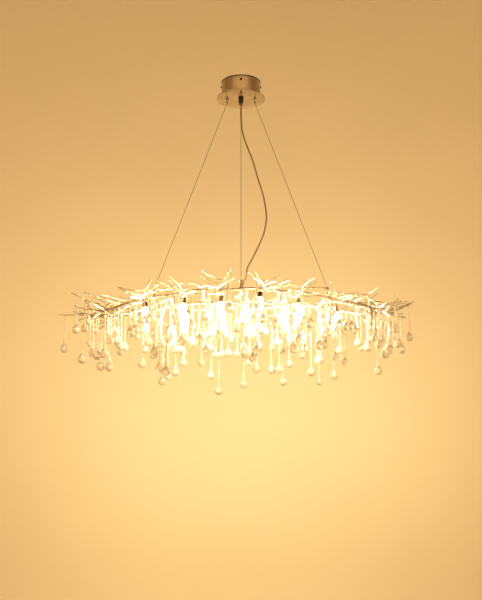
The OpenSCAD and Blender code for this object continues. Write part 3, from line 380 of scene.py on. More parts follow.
def makeCord():
    c = cordSettings
    knots = [Vector(c["exit"])] + [Vector(p) for p in c["route"]]
    knots += [inletFace + d * inletLean for d in c["inletKnots"]]
    line = smoothRoute(knots, c["steps"])
    cord = curvePiece("powerCord", [(line, [c["radius"]] * len(line))], clearJacket,
                      ["power_cord"], roundness=6)
    inner = smoothRoute(knots, c["coreSteps"])
    strands, turned = [[] for n in range(c["cores"])], 0.0
    for i, at in enumerate(inner):  # the cores are twisted round the cord's middle line
        ahead = (inner[min(i + 1, len(inner) - 1)] - inner[max(i - 1, 0)]).normalized()
        side = ahead.cross(Vector((0, 1, 0))).normalized()
        out = ahead.cross(side)
        turned += 0 if i == 0 else 2 * pi * (at - inner[i - 1]).length / c["layLength"]
        for n in range(c["cores"]):
            a = turned + 2 * pi * n / c["cores"]
            strands[n].append(at + c["coreOffset"] * (cos(a) * side + sin(a) * out))
    cores = curvePiece("cordCores", [(s, [c["coreRadius"]] * len(s)) for s in strands], copperCore,
                       roundness=1)


makeCord()
print("power cord made")


# Canopy: drum with an inward flange, polished plate, a dark ring at its top that paints the shadow of the
# ceiling gap, side screws
canopySettings = {"sides": 96, "flange": 9, "drumEdge": 0.35, "plateHole": 5.15, "plateEdge": 0.7,
                  "shadowIn": 1.7, "shadowOut": 0.6, "shadowTop": -0.2, "shadowEdge": 0.3}
sideScrewSettings = {"headR": 3.5, "headH": 2.4, "rimH": 0.9, "shankR": 1.94, "shankL": 5, "hexR": 1.35,
                     "hexDepth": 1.1}


def makeCanopy():
    c = canopySettings
    r, top, low, t = sizes["drumD"] / 2, sizes["drumTop"], sizes["plateTop"], sizes["sheet"]
    inner = r - t - c["flange"]
    drum = spunShape([(r, top), (r, low), (inner, low), (inner, low + t), (r - t, low + t), (r - t, top)],
                     c["sides"], True)
    softEdges(drum, c["drumEdge"], segments=3)
    meshPiece("canopyDrum", drum, polishedNickel, ["canopy_drum"])
    hole, rim, under = c["plateHole"], sizes["plateD"] / 2, sizes["plateZ"]
    plate = spunShape([(hole, under), (rim, under), (rim, low), (hole, low)], c["sides"], True)
    softEdges(plate, c["plateEdge"], segments=4)
    meshPiece("canopyPlate", plate, polishedNickel, ["canopy_plate"])
    # a dark ring in the gap between the drum and the ceiling: painted shadow of that gap
    inside, outside, high = r - c["shadowIn"], r + c["shadowOut"], c["shadowTop"]
    gapShadow = spunShape([(inside, top), (outside, top), (outside, high), (inside, high)], c["sides"], True)
    softEdges(gapShadow, c["shadowEdge"])
    meshPiece("canopyGapShadow", gapShadow, darkNylonAndGapShadow)


def makeSideScrews():
    s, screws = sideScrewSettings, bmesh.new()
    for turn in postTurns.values():
        outline = [(0, -s["shankL"]), (s["shankR"], -s["shankL"]), (s["shankR"], 0), (s["headR"], 0)]
        outline += [(s["headR"] * cosDeg(a), s["rimH"] + (s["headH"] - s["rimH"]) * sinDeg(a))
                    for a in (0, 22, 44, 60)]
        outline += [(s["hexR"], s["headH"] - 0.12), (s["hexR"], s["headH"] - s["hexDepth"]),
                    (0, s["headH"] - s["hexDepth"] - 0.2)]
        screw = spunShape(outline, 24)
        for v in screw.verts:  # the recess is a hexagon
            if v.co.z > s["headH"] - s["hexDepth"] - 0.1 and 0.1 < v.co.xy.length < s["hexR"] + 0.01:
                a = atan2(v.co.y, v.co.x) % (pi / 3) - pi / 6
                v.co.xy *= cos(pi / 6) / cos(a)
        way = Vector((cosDeg(turn), sinDeg(turn), 0))
        at = way * sizes["drumD"] / 2 + Vector((0, 0, sizes["sideScrewZ"]))
        addShape(screws, screw, standAt(at, way))
    meshPiece("sideScrews", screws, blackSteelAndGapShadow, ["side_screws"])


# Cable grips under the plate, each with a dark release nozzle, and the cord gland
gripSettings = {"flangeR": 5.5, "flangeH": 5, "grooveDepth": 0.35, "shankR": 4, "shankH": 16,
                "chamberR": 2.6, "chamberLow": 2, "chamberTop": 13, "guideR": 1.7, "boreR": 1.05}
nozzleSettings = {"r": 2.3, "top": -7, "h": 4, "shaftR": 1.55, "headR": 2.405, "headLow": 2, "headTop": 3}
springSettings = {"r": 1.9, "wireR": 0.26, "low": 4.98, "top": 12.57, "turns": 7, "step": 24}
glandSettings = {"r": 7.5, "h": 14, "boreR": 2.2, "shankR": 5, "shankH": 12, "ribs": 48, "ribDepth": 0.4}


def gripPlace(turn):
    return Matrix.Translation((sizes["gripReach"] * cosDeg(turn), sizes["gripReach"] * sinDeg(turn),
                               sizes["plateZ"]))


def makeGrips():
    g, s, grips, springs = gripSettings, springSettings, bmesh.new(), []
    low, groove, whole = -g["flangeH"], g["flangeR"] - g["grooveDepth"], 360 * s["turns"]
    for turn in postTurns.values():
        body = spunShape([(g["guideR"], low), (g["flangeR"] - 0.8, low), (g["flangeR"], low + 0.8),
                          (g["flangeR"], -2.6), (groove, -2.3), (groove, -1.9), (g["flangeR"], -1.6),
                          (g["flangeR"], 0), (g["shankR"], 0), (g["shankR"], g["shankH"]),
                          (g["boreR"], g["shankH"]), (g["boreR"], g["chamberTop"]),
                          (g["chamberR"], g["chamberTop"]), (g["chamberR"], g["chamberLow"]),
                          (g["guideR"], -1)], 40, True)
        softEdges(body, 0.2, angle=50)
        addShape(grips, body, gripPlace(turn))
        coil = [Vector((s["r"] * cosDeg(a), s["r"] * sinDeg(a), blend(s["low"], s["top"], a / whole)))
                for a in range(0, whole + 1, s["step"])]
        springs.append(([gripPlace(turn) @ p for p in coil], [s["wireR"]] * len(coil)))
    meshPiece("cableGrips", grips, nickelPaintedGlint, ["grip_bodies"])
    curvePiece("gripSprings", springs, satinSteel, ["grip_springs"], roundness=1)


def makeReleases():
    n, bore = nozzleSettings, gripSettings["boreR"]
    top, low = n["top"], n["top"] - n["h"]
    for name, turn in postTurns.items():
        nozzle = spunShape([(bore, low), (n["r"] - 0.7, low), (n["r"] - 0.15, low + 0.7), (n["r"], low + 1.4),
                            (n["r"], top), (n["shaftR"], top), (n["shaftR"], -1), (n["headR"], n["headLow"]),
                            (n["headR"], n["headTop"]), (bore, n["headTop"])], 32, True)
        softEdges(nozzle, 0.12, angle=50)
        nozzle.transform(gripPlace(turn))
        meshPiece("release" + name.capitalize(), nozzle, darkNylonAndGapShadow, ["release_" + name],
                  "release_" + name)


def makeGland():
    g = glandSettings
    low = -g["h"]
    gland = spunShape([(g["boreR"], low), (4.1, low), (5.0, low + 0.5), (6.1, low + 2), (7.0, low + 3.7),
                       (g["r"], low + 5), (g["r"], -2.2), (g["r"], -1.2), (g["r"], 0), (g["shankR"], 0),
                       (g["shankR"], g["shankH"]), (g["boreR"], g["shankH"])], g["ribs"], True)
    for v in gland.verts:  # finger ribs round the cap
        if low + 4.9 < v.co.z < -2 and v.co.xy.length > g["r"] - 0.1:
            column = round(atan2(v.co.y, v.co.x) / (2 * pi) * g["ribs"])
            if column % 2:
                v.co.xy *= 1 - g["ribDepth"] / g["r"]
    softEdges(gland, 0.2, angle=60)
    gland.transform(Matrix.Translation((0, 0, sizes["plateZ"])))
    meshPiece("cordGland", gland, darkNylonAndGapShadow, ["cord_gland"], sharp=50)


makeCanopy()
makeSideScrews()
makeGrips()
makeReleases()
makeGland()
print("canopy made")


# Suspension: twisted steel cables with ball ends that sit in sockets on the hanger posts
cableSettings = {"strands": 6, "strandDepth": 0.16, "layLength": 9, "step": 1.5, "tail": 30, "overlap": 0.3,
                 "sleeveWall": 0.7}
postSettings = {"d": 6, "footLip": 1.2, "headD": 12, "headH": 5, "socketR": 3.25}


def socketAt(name):
    reach = sizes["sideReach"] if name in ("left", "right") else sizes["stemMidY"]
    turn = postTurns[name]
    return Vector((reach * cosDeg(turn), reach * sinDeg(turn), sizes["hangZ"]))


def kneeAt(name):
    turn = postTurns[name]
    return Vector((sizes["gripReach"] * cosDeg(turn), sizes["gripReach"] * sinDeg(turn), sizes["kneeZ"]))


def twistedCable(length):
    c = cableSettings
    cable = bmesh.new()
    steps = round(length / c["step"])
    ring = bmesh.ops.create_circle(cable, segments=2 * c["strands"], radius=sizes["cableD"] / 2)["verts"]
    for i, v in enumerate(ring):  # a groove between each two strands
        v.co *= 1 - (c["strandDepth"] if i % 2 else 0)
    bmesh.ops.spin(cable, geom=ring + cable.edges[:], cent=(0, 0, 0), axis=(0, 0, 1),
                   dvec=(0, 0, length / steps), angle=2 * pi * length / c["layLength"], steps=steps,
                   use_duplicate=False)
    bmesh.ops.holes_fill(cable, edges=[e for e in cable.edges if e.is_boundary])
    bmesh.ops.recalc_face_normals(cable, faces=cable.faces)
    return cable


def makeCables():
    c, cables, balls = cableSettings, bmesh.new(), bmesh.new()
    r, sleeve, end = sizes["ballR"], sizes["cableD"] / 2 + c["sleeveWall"], sizes["sleeveH"]
    for name in postTurns:
        socket, knee = socketAt(name), kneeAt(name)
        way = (knee - socket).normalized()
        foot = socket + end * way
        addShape(cables, twistedCable((knee - foot).length + c["overlap"]), standAt(foot, way))
        addShape(cables, twistedCable(sizes["plateTop"] + c["tail"] - sizes["kneeZ"]), standAt(knee))
        outline = [(r * sinDeg(a), -r * cosDeg(a)) for a in range(0, 150, 12)]
        outline += [(sleeve, 3.0), (sleeve, 6.2), (sleeve - 0.2, 6.5), (sleeve, 6.8), (sleeve, end - 0.5),
                    (sleeve - 0.5, end), (0, end)]
        addShape(balls, spunShape(outline, 28), standAt(socket, way))
    meshPiece("suspensionCables", cables, cableSteel, ["suspension_cables"], sharp=180)
    meshPiece("cableBalls", balls, satinSteel, ["cable_balls"])


def makePosts():
    posts, p = bmesh.new(), postSettings
    for name in postTurns:
        at = socketAt(name)
        if name in ("left", "right"):
            foot = stemZ(at.x) + sizes["crossD"] / 2 + sizes["seat"]
        else:
            foot = stemZ(0) + sizes["stemR"] + stemSwell(0, p["d"] / 2, 1) + sizes["seat"]
        headZ, r, headR = at.z - p["headH"] + 0.5, p["d"] / 2, p["headD"] / 2
        outline = [(0, foot), (r + p["footLip"], foot), (r + p["footLip"], foot + 1), (r, foot + 2),
                   (r, headZ - 1.5), (r + 0.5, headZ - 0.5), (r + 1.5, headZ), (headR, headZ),
                   (headR, headZ + p["headH"])]
        outline += [(p["socketR"] * cosDeg(a), at.z + p["socketR"] * sinDeg(a))
                    for a in (8.8, -10, -30, -50, -70, -90)]
        post = spunShape(outline, 36)
        softEdges(post, 0.4, angle=50)
        addShape(posts, post, Matrix.Translation((at.x, at.y, 0)))
    meshPiece("hangerPosts", posts, polishedNickel, ["hanger_posts"])


makeCables()
makePosts()
print("suspension made")


# Lines of the frame. A rod is three points that pull a curve; its line has the same knots as the solid.
def roundedLine(points, radii, reach=0.36, steps=4):  # corners are rounded, straight middles stay in place
    line, widths = [points[0]], [radii[0]]
    for i in range(1, len(points) - 1):
        start, end = points[i].lerp(points[i - 1], reach), points[i].lerp(points[i + 1], reach)
        startR, endR = blend(radii[i], radii[i - 1], reach), blend(radii[i], radii[i + 1], reach)
        for n in range(steps + 1):
            t = n / steps
            line.append(start.lerp(points[i], t).lerp(points[i].lerp(end, t), t))
            widths.append(blend(startR, endR, t))
    return line + [points[-1]], widths + [radii[-1]]


def makeStem(name, side, node):
    last = sizes["stemKnots"]
    knots = [Vector((i * sizes["stemStep"], side * knotY(i), knotZ(i))) for i in range(-last, last + 1)]
    line, radii = roundedLine(knots, [sizes["stemR"]] * len(knots))
    stem = curvePiece(name, [(line, radii)], castNickel, [node], roundness=5, caps=False)
    stem = curveToMesh(stem)
    wall = stem.modifiers.new("wall", "SOLIDIFY")
    wall.thickness = millimetre
    wall.offset = -1


def makeCrossTubes():
    tubes, r = bmesh.new(), sizes["crossD"] / 2
    for x in (-sizes["sideReach"], -sizes["pitch"], 0, sizes["pitch"], sizes["sideReach"]):
        half = min(stemY(x - r), stemY(x + r)) - sizes["stemR"] - sizes["seat"]
        tube = spunShape([(r + 0.5, -half), (r + 0.1, 1 - half), (r, 2 - half), (r, half - 2),
                          (r + 0.1, half - 1), (r + 0.5, half), (r - 1, half), (r - 1, -half)], 28, True)
        addShape(tubes, tube, standAt((x, 0, stemZ(x)), (0, 1, 0)))
    meshPiece("crossTubes", tubes, castNickel, ["cross_tubes"])


def makeInlet():
    s, inlet = inletSettings, bmesh.new()
    outer, h, neckR, ballR = s["d"] / 2, s["h"], s["d"] / 2 - 1, (s["d"] + s["ball"]) / 2
    foot = spunShape([(0, 0), (outer, 0), (outer, 0.8), (neckR, 1.6), (neckR, s["neck"]), (0, s["neck"])], 32)
    addShape(inlet, foot, Matrix.Translation(inletFoot))
    outline = [(ballR * sinDeg(a), -ballR * cosDeg(a)) for a in range(0, 106, 15)]
    outline += [(outer, 2.5), (outer, h - 4.4), (outer - 0.3, h - 4.1), (outer - 0.3, h - 3.3),
                (outer, h - 3), (outer, h - 0.8), (outer - 0.8, h), (1.5, h), (1.5, 2), (0, 2)]
    addShape(inlet, spunShape(outline, 36), standAt(inletNeck, inletLean))
    meshPiece("frameInlet", inlet, polishedNickel, ["frame_inlet"])


makeStem("frontStem", -1, "front_stem")
makeStem("backStem", 1, "back_stem")
makeCrossTubes()
makeInlet()
print("stems made")


# Lamps under the stems: arm, cup, porcelain holder and a lit capsule on two pins
lampSettings = {"armL": 12, "armD": 6, "cupD": 17, "cupH": 20, "holderD": 13.4, "lampD": 11, "lampL": 36,
                "pinX": 2.25, "tilt": 24, "leans": (1, 0.35, -0.5),
                "frontRow": (-2.5, -1.5, -0.5, 0.5, 1.5, 2.5), "backRow": (-1.5, -0.5, 0.5, 1.5)}


def lampPlaces():
    s, places = lampSettings, []
    for side, row, first in ((-1, s["frontRow"], 0), (1, s["backRow"], 1)):
        for i, share in enumerate(row):
            x = share * sizes["pitch"]
            turn = side * s["tilt"] * s["leans"][(i + first) % 3]
            drop = sizes["stemR"] + stemSwell(x, s["armD"] / 2, -1) + sizes["seat"]
            seat = Vector((x, side * stemY(x), stemZ(x))) + drop * Vector((0, sinDeg(turn), -cosDeg(turn)))
            places.append(Matrix.Translation(seat) @ Matrix.Rotation(radians(turn), 4, "X"))
    return places


def makeLamps():
    s = lampSettings
    arms, cups, holders, lamps = bmesh.new(), bmesh.new(), bmesh.new(), bmesh.new()
    armR, cupR, holderR, lampR = s["armD"] / 2, s["cupD"] / 2, s["holderD"] / 2, s["lampD"] / 2
    armEnd, low = -s["armL"], -s["armL"] - s["cupH"]
    top, foot = armEnd - 0.95, low - sizes["seat"]
    tip = foot - s["lampL"]
    for place in lampPlaces():
        arm = spunShape([(armR - 1, 0), (armR, 0), (armR, armEnd + 1), (armR + 0.4, armEnd),
                         (armR - 1, armEnd)], 28, True)
        addShape(arms, arm, place)
        cup = spunShape([(2, armEnd), (cupR, armEnd), (cupR, low), (cupR - 0.8, low),
                         (cupR - 0.8, armEnd - 0.8), (2, armEnd - 0.8)], 40, True)
        softEdges(cup, 0.25, segments=3)
        addShape(cups, cup, place)
        holder = spunShape([(0, low + 9), (2.4, low + 9), (2.4, low + 0.4), (2.8, low), (holderR - 0.6, low),
                            (holderR, low + 0.6), (holderR, top - 4), (7.55, top - 4), (7.55, top), (2, top),
                            (2, low + 10), (0, low + 10)], 32)
        addShape(holders, holder, place)
        outline = [(0, foot), (4.1, foot), (4.4, foot - 0.4), (4.4, foot - 3), (4.9, foot - 3.8),
                   (lampR, foot - 5)]
        outline += [(lampR * cosDeg(a), tip + lampR - lampR * sinDeg(a)) for a in range(0, 76, 15)]
        addShape(lamps, spunShape(outline + [(0.9, tip + 0.25), (0.5, tip), (0, tip)], 28), place)
        for x in (-s["pinX"], s["pinX"]):
            pin = spunShape([(0, foot - 1), (0.6, foot - 1), (0.6, foot + 7.6), (0.3, foot + 8),
                             (0, foot + 8)], 12)
            addShape(lamps, pin, place @ Matrix.Translation((x, 0, 0)))
    meshPiece("lampArms", arms, castNickel, ["lamp_arms"])
    meshPiece("holderCups", cups, cupPaintedShade, ["holder_cups"])
    meshPiece("lampHolders", holders, porcelain, ["lamp_holders"])
    meshPiece("capsuleLamps", lamps, lampGlass, ["lamps"])


makeLamps()
print("lamps made")


# Branches: the same curves as the solids, with rounder knots, swollen forks and buds
branchSettings = {"reach": 0.7, "knee": 0.6, "lean": 0.16, "fan": 0.05, "lifts": (4, 18, 28), "sag": -3,
                  "clear": 1.03, "unevenEnd": 9}
twigSettings = {"reach": 0.86, "reachVary": 0.14, "ahead": 0.92, "aheadVary": 0.14, "riseVary": 8,
                "kneeX": 0.3, "kneeY": 0.52, "kneeZ": 0.1, "kneeLift": 5}
endSettings = {"start": 16, "side": 12, "length": 130, "kneeY": 0.35, "kneeZ": 0.2, "kneeLift": 4}
rodSettings = {"stretch": 6, "forkSwell": 0.4, "forkReach": 4.5, "unevenness": 0.045,
               "bud": [(0.0, 1.06), (0.4, 1.35), (1.25, 1.9), (2.2, 1.85), (3.1, 1.4), (3.9, 0.8),
                       (4.25, 0.35)]}
# Twigs of a branch: place along its half, side, reach, way out and rise
upperTwigs = [(0.56, 1, 0.38, 66, 20), (0.68, -1, 0.40, 70, -6), (0.80, 1, 0.34, 66, 34),
              (0.92, -1, 0.30, 60, 2)]
lowerTwigs = [(0.56, -1, 0.38, 62, -22), (0.70, 1, 0.38, 62, -34), (0.82, -1, 0.32, 58, -8),
              (0.93, 1, 0.26, 52, -40)]
# Twigs of an end: place along its trunk, then the tip's x, y and rise
leftTips = [(0.46, 150, -66, 10), (0.50, 138, 64, -4), (0.62, 196, -62, 26), (0.68, 182, 62, -26),
            (0.80, 236, -40, 44), (0.86, 226, 44, -12), (0.94, 276, -4, 2)]
rightTips = [(0.44, 132, 62, 12), (0.50, 142, -58, 34), (0.62, 178, 68, -42), (0.68, 176, -62, -12),
             (0.78, 208, -42, 14), (0.86, 232, 42, -8), (0.94, 250, -6, 36)]


def vary(i, k):  # between -1 and 1, the same for the same twig as in the solids
    return sinDeg(i * 137.5 + k * 71.3 + 19)


def curvePoint(rod, t):
    return (1 - t) ** 2 * rod[0] + 2 * t * (1 - t) * rod[1] + t * t * rod[2]


def tipWay(rod):
    return (rod[2] - rod[1]).normalized()


def oval(x):
    return sqrt(1 - (x / sizes["ovalHalf"]) ** 2)


def halfReach(x):
    return branchSettings["reach"] * sizes["spreadY"] * oval(x)


def crossingShare(x, y):  # where a branch's half passes over the stem
    e = halfReach(x)
    b = branchSettings["knee"] * e
    a = e - 2 * b
    return (-b + sqrt(b * b + a * y)) / a


def liftOf(x):  # branches near the ends bow up more
    near, middle, far = branchSettings["lifts"]
    if abs(x) > 3 * sizes["pitch"]:
        return far
    return middle if abs(x) > 2 * sizes["pitch"] else near


def trunkHalf(i, x, side, level, droop):
    s, e, r, lift = branchSettings, halfReach(x), sizes["stemR"], liftOf(x)
    lean = s["lean"] * sizes["pitch"] * vary(i, side * 2) + s["fan"] * x
    t = crossingShare(x, stemY(x + lean / 4))
    crossX = x + t * t * lean
    slope = (stemZ(crossX + r) - stemZ(crossX - r)) / (2 * r)
    climb = lift / stemY(x)
    width = blend(sizes["branchD"], sizes["branchEndD"], t) / 2
    apart = s["clear"] * sqrt(1 + slope ** 2 + climb ** 2) * (r + width) + sizes["seat"]
    crossZ = stemZ(crossX) + level * apart
    midZ = crossZ + (lift if level > 0 else s["sag"])
    endZ = crossZ - droop + s["unevenEnd"] * vary(i, side + 5)
    bend = (crossZ - midZ * (1 - t * t) - t * t * endZ) / (2 * t * (1 - t))
    return [Vector((x, 0, midZ)), Vector((x, side * s["knee"] * e, midZ + bend)),
            Vector((x + lean, side * e, endZ))]


def twigOf(i, k, trunk, side, level, spec):
    s, (share, way, wide, out, up) = twigSettings, spec
    root = curvePoint(trunk, share)
    turn = way * side * (1 if i % 2 == 0 else -1)
    reach = turn * wide * sizes["pitch"] * (s["reach"] + s["reachVary"] * vary(i, k + side))
    ahead = side * out * (s["ahead"] + s["aheadVary"] * vary(i, k + 3 * side)) * oval(trunk[0].x)
    rise = up + s["riseVary"] * vary(i, k + 7 * side)
    knee = Vector((s["kneeX"] * reach, s["kneeY"] * ahead, s["kneeZ"] * rise + s["kneeLift"] * level))
    return [root, root + knee, root + Vector((reach, ahead, rise))]


def branchRods(i, x, level, droop, specs):
    front, back = trunkHalf(i, x, -1, level, droop), trunkHalf(i, x, 1, level, droop)
    middle = Vector((x, 0, (front[0].z + back[0].z) / 2))
    front[0], back[0] = middle, middle.copy()
    rows = range(3 if abs(x) > 3 * sizes["pitch"] else 4)
    return [front, back] + [twigOf(i, k, front, -1, level, specs[k]) for k in rows] \
        + [twigOf(i, k, back, 1, level, specs[k]) for k in rows]


def endRods(way, bend, tips):
    s, reach = endSettings, sizes["sideReach"]
    rootZ = stemZ(way * reach) + (sizes["crossD"] + sizes["branchD"]) / 2 + sizes["seat"]
    endX = way * (reach + s["length"])
    trunk = [Vector((way * (reach - s["start"]), s["start"], rootZ)),
             Vector((way * (reach + bend[1]), bend[0] + s["side"], rootZ + s["side"])),
             Vector((endX, bend[0], stemZ(endX) + bend[2]))]
    rods = [trunk]
    for share, x, y, rise in tips:
        root = curvePoint(trunk, share)
        end = Vector((way * (reach + x), y, root.z + rise))
        knee = Vector(((root.x + end.x) / 2, s["kneeY"] * y + (1 - s["kneeY"]) * root.y,
                       root.z + s["kneeZ"] * rise + s["kneeLift"]))
        rods.append([root, knee, end])
    return rods


def trunkKnots(rod):
    t = crossingShare(rod[0].x, stemY(rod[0].x))
    return [0, 0.5 * t, t, blend(t, 1, 1 / 3), blend(t, 1, 2 / 3), 1]


def rodLine(rod, shares, startD, endD, fork, seed):
    s = rodSettings
    knots = [curvePoint(rod, t) for t in shares]
    line, radii = roundedLine(knots, [blend(startD, endD, t) / 2 for t in shares])
    fine, widths = [line[0]], [radii[0]]
    for a, b, ra, rb in zip(line, line[1:], radii, radii[1:]):  # no stretch is much longer than set
        parts = max(1, round((b - a).length / s["stretch"]))
        fine += [a.lerp(b, n / parts) for n in range(1, parts + 1)]
        widths += [blend(ra, rb, n / parts) for n in range(1, parts + 1)]
    uneven = random.Random(seed)
    gone = 0.0
    for i in range(len(fine)):
        gone += (fine[i] - fine[i - 1]).length if i else 0
        widths[i] *= 1 + s["unevenness"] * uneven.uniform(-1, 1)
        if fork:
            widths[i] *= 1 + s["forkSwell"] * exp(-(gone / s["forkReach"]) ** 2)
    way, tipR = tipWay(rod), endD / 2
    for far, share in s["bud"]:  # only the bud's thick middle is held to the solid's bud
        fine.append(rod[2] + far * way)
        widths.append(share * tipR if share < 1.5 else min(share * tipR, sizes["budD"] / 2))
    return fine, widths


# Thin twigs that fill the spaces between the branches' own
sideTwigSettings = {"startD": 2.9, "endD": 2.0, "reach": (40, 66), "rise": (-2, 26), "curl": 1.7,
                    "drift": 0.35, "wave": 2.4, "steps": 5, "budStep": 0.7, "unevenness": 0.06,
                    "onTwig": (0.34, 0.62), "onTrunk": (0.44, 0.9), "onTrunkEnd": (0.5, 0.96),
                    "inwardsFrom": 130}


def sideTwig(root, way, chance):  # a thin wavy twig that runs outwards and curls up at its tip
    s = sideTwigSettings
    reach, rise = chance.uniform(*s["reach"]), chance.uniform(*s["rise"])
    drift = chance.uniform(-s["drift"], s["drift"]) * reach
    knots = [root]
    for n in range(1, s["steps"] + 1):
        t = n / s["steps"]
        wave = s["wave"] * (1 if n % 2 else -1) * chance.uniform(0.3, 1)
        knots.append(root + Vector((way * reach * t, drift * t + 0.5 * wave,
                                    rise * t ** s["curl"] + wave * (1 - 0.6 * t))))
    line = smoothRoute(knots, 4)
    tip, last = (line[-1] - line[-2]).normalized(), len(line) - 1
    radii = [blend(s["startD"], s["endD"], n / last) / 2 * (1 + s["unevenness"] * chance.uniform(-1, 1))
             for n in range(len(line))]
    for far, share in rodSettings["bud"]:  # the first ring of the bud stands on the twig's end
        line.append(line[-1] + tip * (s["budStep"] if far else 0))
        radii.append(share * s["endD"] / 2)
    return line, radii


def sideTwigs(rods, first, seed):
    s, chance, lines = sideTwigSettings, random.Random(seed + 1000), []
    way = 1 if rods[0][0].x > 0 else -1
    for k, rod in enumerate(rods):
        inwards = k % 3 == 2 and abs(rod[0].x) > s["inwardsFrom"]
        for low, high in [s["onTrunk"], s["onTrunkEnd"]] if k < first else [s["onTwig"]]:
            root = curvePoint(rod, chance.uniform(low, high))
            lines.append(sideTwig(root, -way if inwards else way, chance))
    return lines


def makeBranch(name, rods, node, oneEnd, seed):
    shares = [0, 0.2, 0.4, 0.6, 0.8, 1] if oneEnd else trunkKnots(rods[0])
    line, radii = rodLine(rods[0], shares, sizes["branchD"], sizes["branchEndD"], False, seed)
    first = 1
    if not oneEnd:
        back, backRadii = rodLine(rods[1], shares, sizes["branchD"], sizes["branchEndD"], False, seed + 1)
        line, radii = back[:0:-1] + line, backRadii[:0:-1] + radii
        first = 2
    lines = [(line, radii)]
    for k, rod in enumerate(rods[first:]):
        lines.append(rodLine(rod, [0, 1 / 3, 2 / 3, 1], sizes["twigD"], sizes["twigEndD"], True,
                             seed + 2 + k))
    if name.startswith("upper") or oneEnd:
        lines += sideTwigs(rods, first, seed)
    curvePiece(name, lines, castNickel, [node], roundness=3)


for i in range(8):
    rods = branchRods(i, (i - 3.5) * sizes["pitch"], 1, 38, upperTwigs)
    makeBranch("upperBranch" + str(i + 1), rods, "upper_branch_" + str(i + 1), False, 20 * i)
for i in range(5):
    rods = branchRods(i + 11, (i - 2) * sizes["pitch"] + 18, -1, 98, lowerTwigs)
    makeBranch("lowerBranch" + str(i + 1), rods, "lower_branch_" + str(i + 1), False, 200 + 20 * i)
makeBranch("leftTwigs", endRods(-1, (0, 70, -16), leftTips), "left_twigs", True, 400)
makeBranch("rightTwigs", endRods(1, (4, 66, -14), rightTips), "right_twigs", True, 420)
print("branches made")


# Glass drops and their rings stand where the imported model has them
dropSettings = {"sizes": [(21, 84), (23.5, 106), (26, 128)], "stemR": 2.3, "topR": 1.6, "eyeR": 1.6,
                "glassR": 1.0, "sides": 8, "wireSides": 5, "bow": 0.7, "footH": 12, "ringWireR": 0.6,
                "ringSides": 12, "seed": 11}
dropNodes = {"frontLeftDrops": "front_left_drops", "frontRightDrops": "front_right_drops",
             "backLeftDrops": "back_left_drops", "backRightDrops": "back_right_drops"}


def looseShapes(node):  # corners of each loose shape of a node, in millimetres
    copy = bmesh.new()
    copy.from_mesh(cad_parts[node].data)
    bmesh.ops.remove_doubles(copy, verts=copy.verts, dist=0.00001)
    seen, shapes = set(), []
    for start in copy.verts:
        if start in seen:
            continue
        seen.add(start)
        corners, todo = [], [start]
        while todo:
            v = todo.pop()
            corners.append(v.co * 1000)
            for e in v.link_edges:
                other = e.other_vert(v)
                if other not in seen:
                    seen.add(other)
                    todo.append(other)
        shapes.append(corners)
    copy.free()
    return shapes


def ringOf(corners):  # middle, radius of the ring's wire line, and the flat way that the rod runs
    low, high = min(c.z for c in corners), max(c.z for c in corners)
    middle = sum(corners, Vector()) / len(corners)
    middle.z = (low + high) / 2
    xx = sum((c.x - middle.x) ** 2 for c in corners)
    yy = sum((c.y - middle.y) ** 2 for c in corners)
    xy = sum((c.x - middle.x) * (c.y - middle.y) for c in corners)
    wide = 0.5 * atan2(2 * xy, xx - yy)
    return middle, (high - low) / 2 - dropSettings["ringWireR"], wide + pi / 2


def roundFactor(sides):  # how far subdivision pulls a ring of corners in
    return 2 / 3 + cos(2 * pi / sides) / 3


def wireRing(radius, wireR, sides):  # a ring of round wire, flat in the X-Y plane
    ring = bmesh.new()
    wire = bmesh.ops.create_circle(ring, segments=dropSettings["wireSides"], radius=wireR)["verts"]
    bmesh.ops.rotate(ring, verts=wire, cent=(0, 0, 0), matrix=Matrix.Rotation(pi / 2, 3, "X"))
    bmesh.ops.translate(ring, verts=wire, vec=(radius, 0, 0))
    bmesh.ops.spin(ring, geom=ring.verts[:] + ring.edges[:], cent=(0, 0, 0), axis=(0, 0, 1),
                   angle=2 * pi, steps=sides, use_merge=True, use_duplicate=False)
    bmesh.ops.recalc_face_normals(ring, faces=ring.faces)
    return ring


def dropShape(d, length):  # drawn larger than it is, because subdivision pulls it in
    s = dropSettings
    out, full, foot = 1 / roundFactor(s["sides"]), d / 2, d / 2 - length
    r = full / roundFactor(s["sides"])
    neck = foot + 1.95 * full
    rows = [(0, -1.045 * r), (0.72 * r, -0.72 * r), (r, 0.02 * r), (0.60 * full, 0.74 * full),
            (0.27 * full, 1.2 * full), (s["stemR"] * 1.02, 1.95 * full)]
    outline = [(out * x, foot + z) for x, z in rows]
    outline += [(out * blend(s["stemR"], s["topR"], 0.45), 0.5 * neck - 1), (out * s["topR"], -4.6),
                (out * s["topR"] * 0.9, -2.2), (0, -2.1)]
    drop = spunShape(outline, s["sides"])
    eye = wireRing((s["eyeR"] + s["glassR"]) / roundFactor(s["sides"]),
                   s["glassR"] / roundFactor(s["wireSides"]), s["sides"])
    addShape(drop, eye, Matrix.Rotation(pi / 2, 4, "X"))  # the eye stands in the X-Z plane
    return drop


